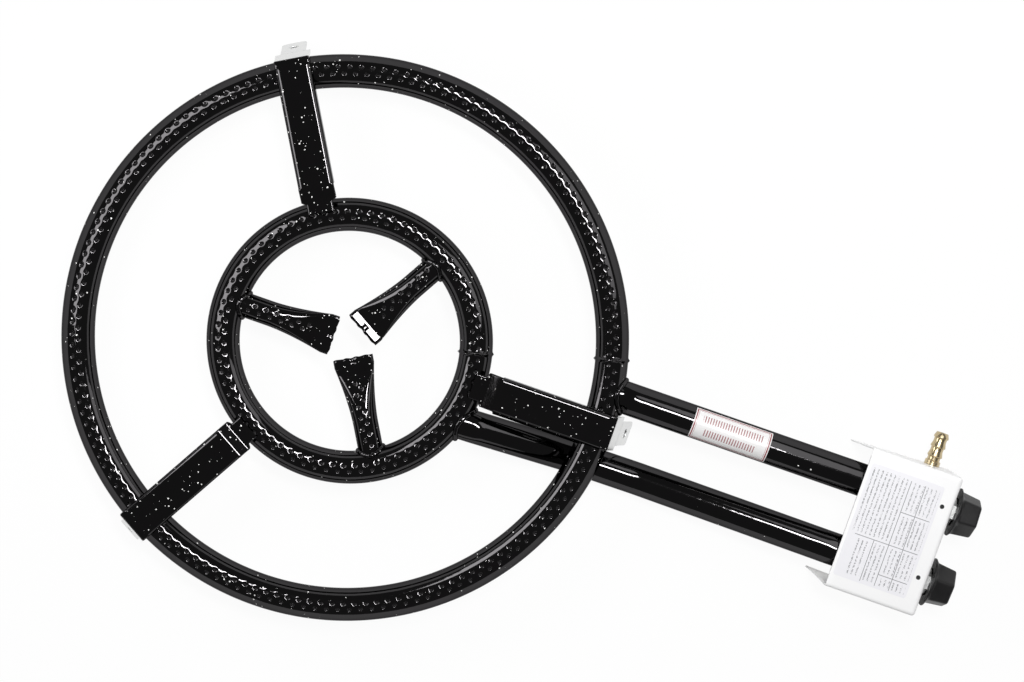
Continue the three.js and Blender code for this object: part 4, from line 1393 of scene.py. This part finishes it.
@dataclass
class BoxPrint:
    """What is stuck or printed on the box and on the outer feed tube, all of it bare of words."""

    layout: Layout = LAYOUT
    label: tuple[tuple[float, float], ...] = (
        (376.8, -41.5), (430.6, -41.5), (430.6, 41.5), (376.8, 41.5),
    )
    label_corner: float = 2.0
    film: float = 0.12
    dots: tuple[tuple[float, float], ...] = ((433.0, 28.1), (434.2, -24.3))
    dot_radius: float = 1.6
    sticker: tuple[float, float] = (249.6, 306.0)
    sticker_reach: float = 63.0  # degrees to each side of the crown
    sticker_sheet: Sheet = Sheet(0.1, 0.02)

    def _film(self, outline: Array, z: float) -> tuple[Array, Array]:
        """A thin plate under an outline: rings of points at the foot, the rim and the middle.

        Args:
            outline: points of the outline.
            z: height of its underside.

        Returns:
            The points and the faces.
        """
        middle = outline.mean(0)
        rings = [(0.0, 0.0), (1.0, 0.0), (1.0, self.film), (0.985, self.film), (0.0, self.film)]
        layers = [
            np.column_stack([middle + (outline - middle) * size, np.full(len(outline), z + up)])
            for size, up in rings
        ]
        points = np.stack(layers)
        return points, quads(len(rings), len(outline), False, True)

    def build(self, shop: Workshop) -> None:
        """Makes the label, the index dots and the sticker."""
        corners = np.array(self.label + (self.label[0], self.label[1]))
        outline = rounded(corners, [self.label_corner] * 4, 6)[1:-1]
        points, faces = self._film(outline, self.layout.box_top)
        shop.piece("box_label", points, faces, RuledLabel(), sharp=30.0)
        angle = np.linspace(0, 2 * math.pi, 32, endpoint=False)
        circle = np.stack([np.cos(angle), np.sin(angle)], 1) * self.dot_radius
        ink = Print("index_ink", rgb(0.003, 0.003, 0.003), 0.6)
        for number, place in enumerate(self.dots, 1):
            points, faces = self._film(circle + place, self.layout.box_top)
            shop.piece(f"index_dot_{number}", points, faces, ink, sharp=30.0)
        self._sticker(shop)

    def _sticker(self, shop: Workshop) -> None:
        """Wraps the sticker over the crown of the outer feed tube."""
        low, high = self.sticker
        radius = self.layout.tube_radius + self.film
        reach = math.radians(self.sticker_reach)
        x, angle = np.meshgrid(np.linspace(low, high, 40), np.linspace(-reach, reach, 49), indexing="ij")
        y = self.layout.feed_place + radius * np.sin(angle)
        points = np.stack([x, y, radius * np.cos(angle)], -1)
        uv = np.stack([(x - low) / (high - low), (angle + reach) / (2 * reach)], -1)
        shop.piece("feed_tube_sticker", points, quads(*x.shape), BorderedSticker(),
                   uv=uv, sheet=self.sticker_sheet, sharp=80.0)


@dataclass
class Knob:
    """A tap knob: thin flared skirt, six-sided grip, hollow back."""

    number: int
    side: int
    layout: Layout = LAYOUT
    gap: float = 3.5
    length: float = 16.6
    skirt: float = 17.5
    rim: float = 1.0
    flare: float = 3.0
    flats: float = 12.5
    draft: float = 1.3
    edge: float = 1.8
    turn: float = 13.0
    sharpness: float = 30.0
    columns: int = 144
    face: tuple[tuple[float, float], ...] = ((0.5, 0.0), (0.5, 0.55), (0.1, 0.75), (0.0, 0.86))

    def build(self, shop: Workshop) -> None:
        """Runs a profile from the middle of the face to the hollow back.

        The face is given as (depth, share of the grip's radius), the back as (place, radius).

        The grip's radius at an angle is its flat's distance over the root, of order p, of the
        sum of each flat's cosine to the power p: a large p gives flat sides and tight corners.
        """
        angle = np.linspace(0, 2 * math.pi, self.columns, endpoint=False)
        flats = np.radians(np.arange(6) * 60.0 + 90.0 + self.side * -self.turn)
        cosine = np.clip(np.cos(angle[:, None] - flats[None]), 0, None)
        hexagon = (cosine ** self.sharpness).sum(1) ** (-1.0 / self.sharpness)
        front = self.length
        stations = [(front - depth, size) for depth, size in self.face]
        for step in np.linspace(0, math.pi / 2, 6):
            shrink = 1 - self.edge * (1 - math.sin(step)) / self.flats
            stations.append((front - self.edge * (1 - math.cos(step)), shrink))
        for share in np.linspace(0.1, 1, 10):
            x = front - self.edge - (front - self.edge - self.flare) * share
            stations.append((x, 1 + self.draft * share / self.flats))
        rows = [np.column_stack([np.full(self.columns, x), size * self.flats * hexagon])
                for x, size in stations]
        grip = rows[-1][:, 1]
        for share in (0.25, 0.5, 0.75, 1.0):
            x = self.flare - (self.flare - self.rim) * share
            rows.append(np.column_stack([
                np.full(self.columns, x), grip + (self.skirt - 0.2 - grip) * share ** 1.4]))
        round_back = [(self.rim - 0.15, self.skirt), (0.2, self.skirt), (0.0, self.skirt - 0.2),
                      (0.0, 10.6), (0.3, 10.3), (6.0, 10.2), (6.3, 9.8), (6.3, 3.4), (6.3, 0.0)]
        for x, radius in round_back:
            rows.append(np.column_stack([np.full(self.columns, x), np.full(self.columns, radius)]))
        profile = np.stack(rows)
        x = self.layout.box_front + self.gap + profile[..., 0]
        y = self.side * self.layout.feed_place + profile[..., 1] * np.cos(angle)
        z = profile[..., 1] * np.sin(angle)
        points = np.stack([x, y, z], -1)
        shop.piece(
            f"tap_knob_{self.number}", points, quads(*points.shape[:2], False, True),
            KNOB_PLASTIC, body=f"knob_{self.number}",
            replaces=(f"control_knob_{self.number}",), sharp=34.0,
        )


@dataclass
class HoseNozzle:
    """The brass hose nozzle with its collar and three barbs."""

    layout: Layout = LAYOUT
    reach: float = 24.0
    columns: int = 64
    mouth: float = 45.5  # from the middle of the box to the hexagon inside its wall
    across_flats: float = 14.0
    barbs: int = 3

    def build(self, shop: Workshop) -> None:
        """Turns a profile of (radius, place along Y) and adds the hexagon inside the wall."""
        wall = self.layout.box_width / 2
        mouth, tip = self.mouth, wall + self.reach
        profile = [(2.5, mouth - 8), (4.3, mouth - 8), (4.7, mouth - 7.6), (4.7, wall - 1.5),
                   (5.3, wall - 1.5), (5.6, wall - 1.2), (5.6, wall + 2.8), (5.2, wall + 3.2),
                   (4.6, wall + 3.4)]
        pitch = (self.reach - 3.2) / self.barbs
        for i in range(self.barbs):
            base = wall + 3.2 + i * pitch
            foot, end = (4.3, 0.97) if i == self.barbs - 1 else (4.6, 1.0)
            barb = ((4.6, 0.36), (5.35, 0.42), (5.5, 0.5), (5.3, 0.62), (foot, end))
            profile += [(radius, base + share * pitch) for radius, share in barb]
        profile += [(4.05, tip), (2.7, tip), (2.5, tip - 0.3)]
        shop.piece("hose_nozzle_body", self._turned(profile, self.columns),
                   quads(len(profile), self.columns, True, True),
                   TURNED_BRASS, replaces=("hose_nozzle",), sharp=28.0)
        corner = self.across_flats / 2 / math.cos(math.radians(30))
        rings = [(4.72, mouth + 0.3), (corner - 0.5, mouth + 0.3), (corner, mouth + 0.8),
                 (corner, wall - 2.0), (corner - 0.5, wall - 1.5), (4.72, wall - 1.5)]
        shop.piece("hose_nozzle_hex", self._turned(rings, 6), quads(len(rings), 6, True, True),
                   TURNED_BRASS, sharp=20.0)

    def _turned(self, profile: list[tuple[float, float]], sides: int) -> Array:
        """Turns a profile about the nozzle's axis.

        Args:
            profile: radius and place along Y of each point.
            sides: points in a ring.

        Returns:
            A grid of points: profile by sides.
        """
        angle = np.linspace(0, 2 * math.pi, sides, endpoint=False)
        line = np.array(profile)
        radius, y = line[:, :1], line[:, 1:]
        x = self.layout.manifold_x + radius * np.cos(angle)
        z = radius * np.sin(angle) - self.layout.manifold_drop
        return np.stack(np.broadcast_arrays(x, y, z), -1)


# Stage.


@dataclass(frozen=True)
class Lamp:
    """A rectangular soft light, in metres in the frame and in watts."""

    name: str
    place: tuple[float, float, float]
    aim: tuple[float, float, float]  # point that it faces
    size: tuple[float, float]
    watts: float
    along: tuple[float, float, float]  # the direction that its length is nearest to

    def build(self) -> None:
        """Hangs the light, facing its aim."""
        data = bpy.data.lights.new(self.name, "AREA")
        data.shape = "RECTANGLE"
        data.size, data.size_y = self.size
        data.energy = self.watts
        made = bpy.data.objects.new(self.name, data)
        bpy.context.scene.collection.objects.link(made)
        back = np.array(self.place) - np.array(self.aim)
        back = back / np.linalg.norm(back)
        side = np.array(self.along) - np.dot(self.along, back) * back
        side = side / np.linalg.norm(side)
        made.matrix_world = pose(np.array([side, np.cross(back, side), back]).T, self.place)
        made.visible_camera = False


@dataclass
class Studio:
    """Camera, lights and floor."""

    below: float = -0.0002  # metres from the object's lowest point to the floor
    floor_radius: float = 8.0
    wall: float = 2.6
    sky: float = 0.13
    focal: float = 2390.5  # pixels, in a picture 1024 wide
    position: tuple[float, float, float] = (96.897, 144.33, 1677.878)  # millimetres, about the ring centre
    right: tuple[float, float, float] = (0.944379, 0.328612, -0.012729)
    down: tuple[float, float, float] = (0.328746, -0.942335, 0.062699)
    forward: tuple[float, float, float] = (0.008609, -0.063396, -0.997951)
    picture_width: float = 1024.0
    sensor_width: float = 36.0
    far: float = 20.0
    glow: float = 0.95  # share of the floor that shines where it is seen
    lamps: tuple[Lamp, ...] = (
        Lamp("strip", (0.098, 0.511, 1.86), (0.0, 0.0, 0.0), (0.67, 0.2), 25.5, (0.9, -0.434, 0.0)),
        Lamp("left", (-0.401, 0.05, 0.374), (-0.101, 0.018, 0.138), (0.3, 0.19), 1.1, (0.1, 0.99, 0.0)),
        Lamp("right", (0.27, 0.38, 0.458), (0.161, 0.289, 0.084), (0.36, 0.34), 0.75, (-0.643, 0.766, 0.0)),
    )

    def camera(self) -> None:
        """Sets the camera at the photograph's place."""
        data = bpy.data.cameras.new("camera")
        data.sensor_fit = "HORIZONTAL"
        data.sensor_width = self.sensor_width
        data.lens = self.focal / self.picture_width * self.sensor_width
        data.clip_end = self.far
        made = bpy.data.objects.new("camera", data)
        bpy.context.scene.collection.objects.link(made)
        place = (np.array(self.position) + RING_CENTRE) * MILLIMETRE
        axes = np.array([self.right, -np.array(self.down), -np.array(self.forward)]).T
        made.matrix_world = pose(axes, place)
        bpy.context.scene.camera = made

    def floor(self) -> None:
        """Lays a pale floor that shows white where nothing shades it."""
        graph = Graph("floor")
        seen = graph.node("ShaderNodeLightPath", output="Is Camera Ray")
        for kind in ("Is Glossy Ray", "Is Transmission Ray"):
            seen = seen.most(graph.node("ShaderNodeLightPath", output=kind))
        paint = graph.node("ShaderNodeBsdfDiffuse", inputs={"Color": rgb(0.9, 0.9, 0.9)})
        glow = graph.node("ShaderNodeEmission", inputs={"Color": rgb(1, 1, 1), "Strength": 1.0})
        mixed = graph.node("ShaderNodeMixShader", inputs={0: seen * self.glow, 1: paint, 2: glow})
        graph.node("ShaderNodeOutputMaterial", inputs={"Surface": mixed})
        mesh = bpy.data.meshes.new("floor")
        turn = np.linspace(0, 2 * math.pi, 48, endpoint=False)
        rings = np.array([(0.0, self.below), (self.floor_radius, self.below), (self.floor_radius, self.wall)])
        height = np.broadcast_to(rings[:, 1:], (len(rings), len(turn)))
        points = np.stack([rings[:, :1] * np.cos(turn), rings[:, :1] * np.sin(turn), height], -1)
        faces = quads(len(rings), len(turn), False, True)[:, ::-1]
        mesh.from_pydata(points.reshape(-1, 3).tolist(), [], faces.tolist())
        made = bpy.data.objects.new("floor", mesh)
        made.data.materials.append(graph.material)
        bpy.context.scene.collection.objects.link(made)

    def world(self) -> None:
        """A dim even sky over the floor's wall."""
        world = bpy.data.worlds.new("studio")
        bpy.context.scene.world = world
        world.use_nodes = True
        sky = world.node_tree.nodes["Background"]
        sky.inputs["Color"].default_value = rgb(1.0, 1.0, 1.0)
        sky.inputs["Strength"].default_value = self.sky

    def build(self) -> None:
        """Sets the whole stage."""
        self.camera()
        self.floor()
        self.world()
        for lamp in self.lamps:
            lamp.build()
        bpy.context.scene.view_settings.view_transform = "Standard"


# Whole.


@dataclass(frozen=True)
class FeedLines:
    """Lines in X and Z that the two feed tubes follow."""

    layout: Layout = LAYOUT
    drop: float = 24.3  # of the dipping tube where it passes under the outer ring
    ring_length: float = 14.0  # level stretch at the inner ring
    lead: float = 10.2  # from the lower corner on the ring side to the crossing
    trail: float = 41.0  # from the crossing to the lower corner on the box side
    mouth_length: float = 16.4  # level stretch at the box
    radii: tuple[float, ...] = (40.0, 40.0, 48.0, 48.0)

    @property
    def crossing(self) -> float:
        """X of the outer ring's middle line beside the feed tubes."""
        return math.sqrt(self.layout.outer_radius ** 2 - self.layout.feed_place ** 2)

    def straight(self) -> Array:
        """The line of the outer feed tube."""
        return np.array([(self.crossing, 0.0), (self.layout.feed_end, 0.0)])

    def dipping(self) -> Array:
        """The line of the inner feed tube: level, down, level under the outer ring, up, level."""
        lay, under = self.layout, self.crossing
        start = lay.inner_shift + math.sqrt(lay.inner_radius ** 2 - lay.feed_place ** 2)
        return np.array([
            (start, 0), (start + self.ring_length, 0), (under - self.lead, -self.drop),
            (under + self.trail, -self.drop), (lay.feed_end - self.mouth_length, 0), (lay.feed_end, 0),
        ])


def build_burner(shop: Workshop) -> None:
    """Makes the rings, the feed tubes with their welds and the centre arms."""
    lay = LAYOUT
    BurnerRing("outer_ring", lay.outer_radius, 0.0, 15.0, 148, 1680).build(shop)
    BurnerRing("inner_ring", lay.inner_radius, lay.inner_shift, 14.0, 70, 800).build(shop)
    lines = FeedLines()
    FeedTube("outer_feed_tube", lines.straight(), [], lay.feed_place).build(shop)
    FeedTube("inner_feed_tube", lines.dipping(), list(lines.radii), -lay.feed_place,
             lay.feed_splay).build(shop)
    joint = -lay.feed_place - (lay.feed_end - lay.inner_radius) * math.sin(math.radians(lay.feed_splay))
    for name, radius, shift, place in (
        ("outer_feed_weld", lay.outer_radius, 0.0, lay.feed_place),
        ("inner_feed_weld", lay.inner_radius, lay.inner_shift, joint),
    ):
        WeldBead(name, radius, shift, lay.tube_radius, place, True, 2.0, height=NECK).build(shop)
    for number, (angle, tilt) in enumerate(((60.0, -11.0), (180.0, 0.0), (-60.0, 0.0)), 1):
        CentreArm(number, angle, tilt).build(shop)


def build_supports(shop: Workshop) -> None:
    """Makes the pan supports with their leg brackets."""
    for number, (angle, flare) in enumerate(((0.0, 2.4), (120.0, 0.0), (-120.0, 0.0)), 1):
        PanSupport(number, angle, flare=flare).build(shop)
        LegBracket(number, angle).build(shop)


def build_box(shop: Workshop) -> None:
    """Makes the control box with its knobs and its nozzle."""
    BoxCover().build(shop)
    BoxPrint().build(shop)
    for number, side in ((1, 1), (2, -1)):
        Knob(number, side).build(shop)
    HoseNozzle().build(shop)


def dress_hidden(shop: Workshop) -> None:
    """Gives the frame's own nodes, most of them inside the box, their finishes."""
    plated = [f"{name}_{i}" for name in ("tap_bonnet", "tap_nut") for i in (1, 2)]
    brass = [f"{name}_{i}" for name in ("tap_body", "tap_plug", "injector") for i in (1, 2)]
    steel = [f"{name}_{i}" for name in ("tap_spring", "tap_spindle") for i in (1, 2)]
    nuts = [f"leg_bracket_nut_{i}" for i in (1, 2, 3)]
    shop.dress(["burner_chassis", *plated, *nuts], ZINC_PLATE)
    shop.dress(["gas_manifold", "manifold_end_plug", *brass], TURNED_BRASS)
    shop.dress(steel, BARE_STEEL)


def main() -> None:
    """Builds every sub-assembly in order."""
    logging.basicConfig(level=logging.INFO, format="%(message)s")
    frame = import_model()
    shop = Workshop(frame)
    Studio().build()
    build_burner(shop)
    build_supports(shop)
    build_box(shop)
    dress_hidden(shop)


if __name__ == "__main__":
    main()
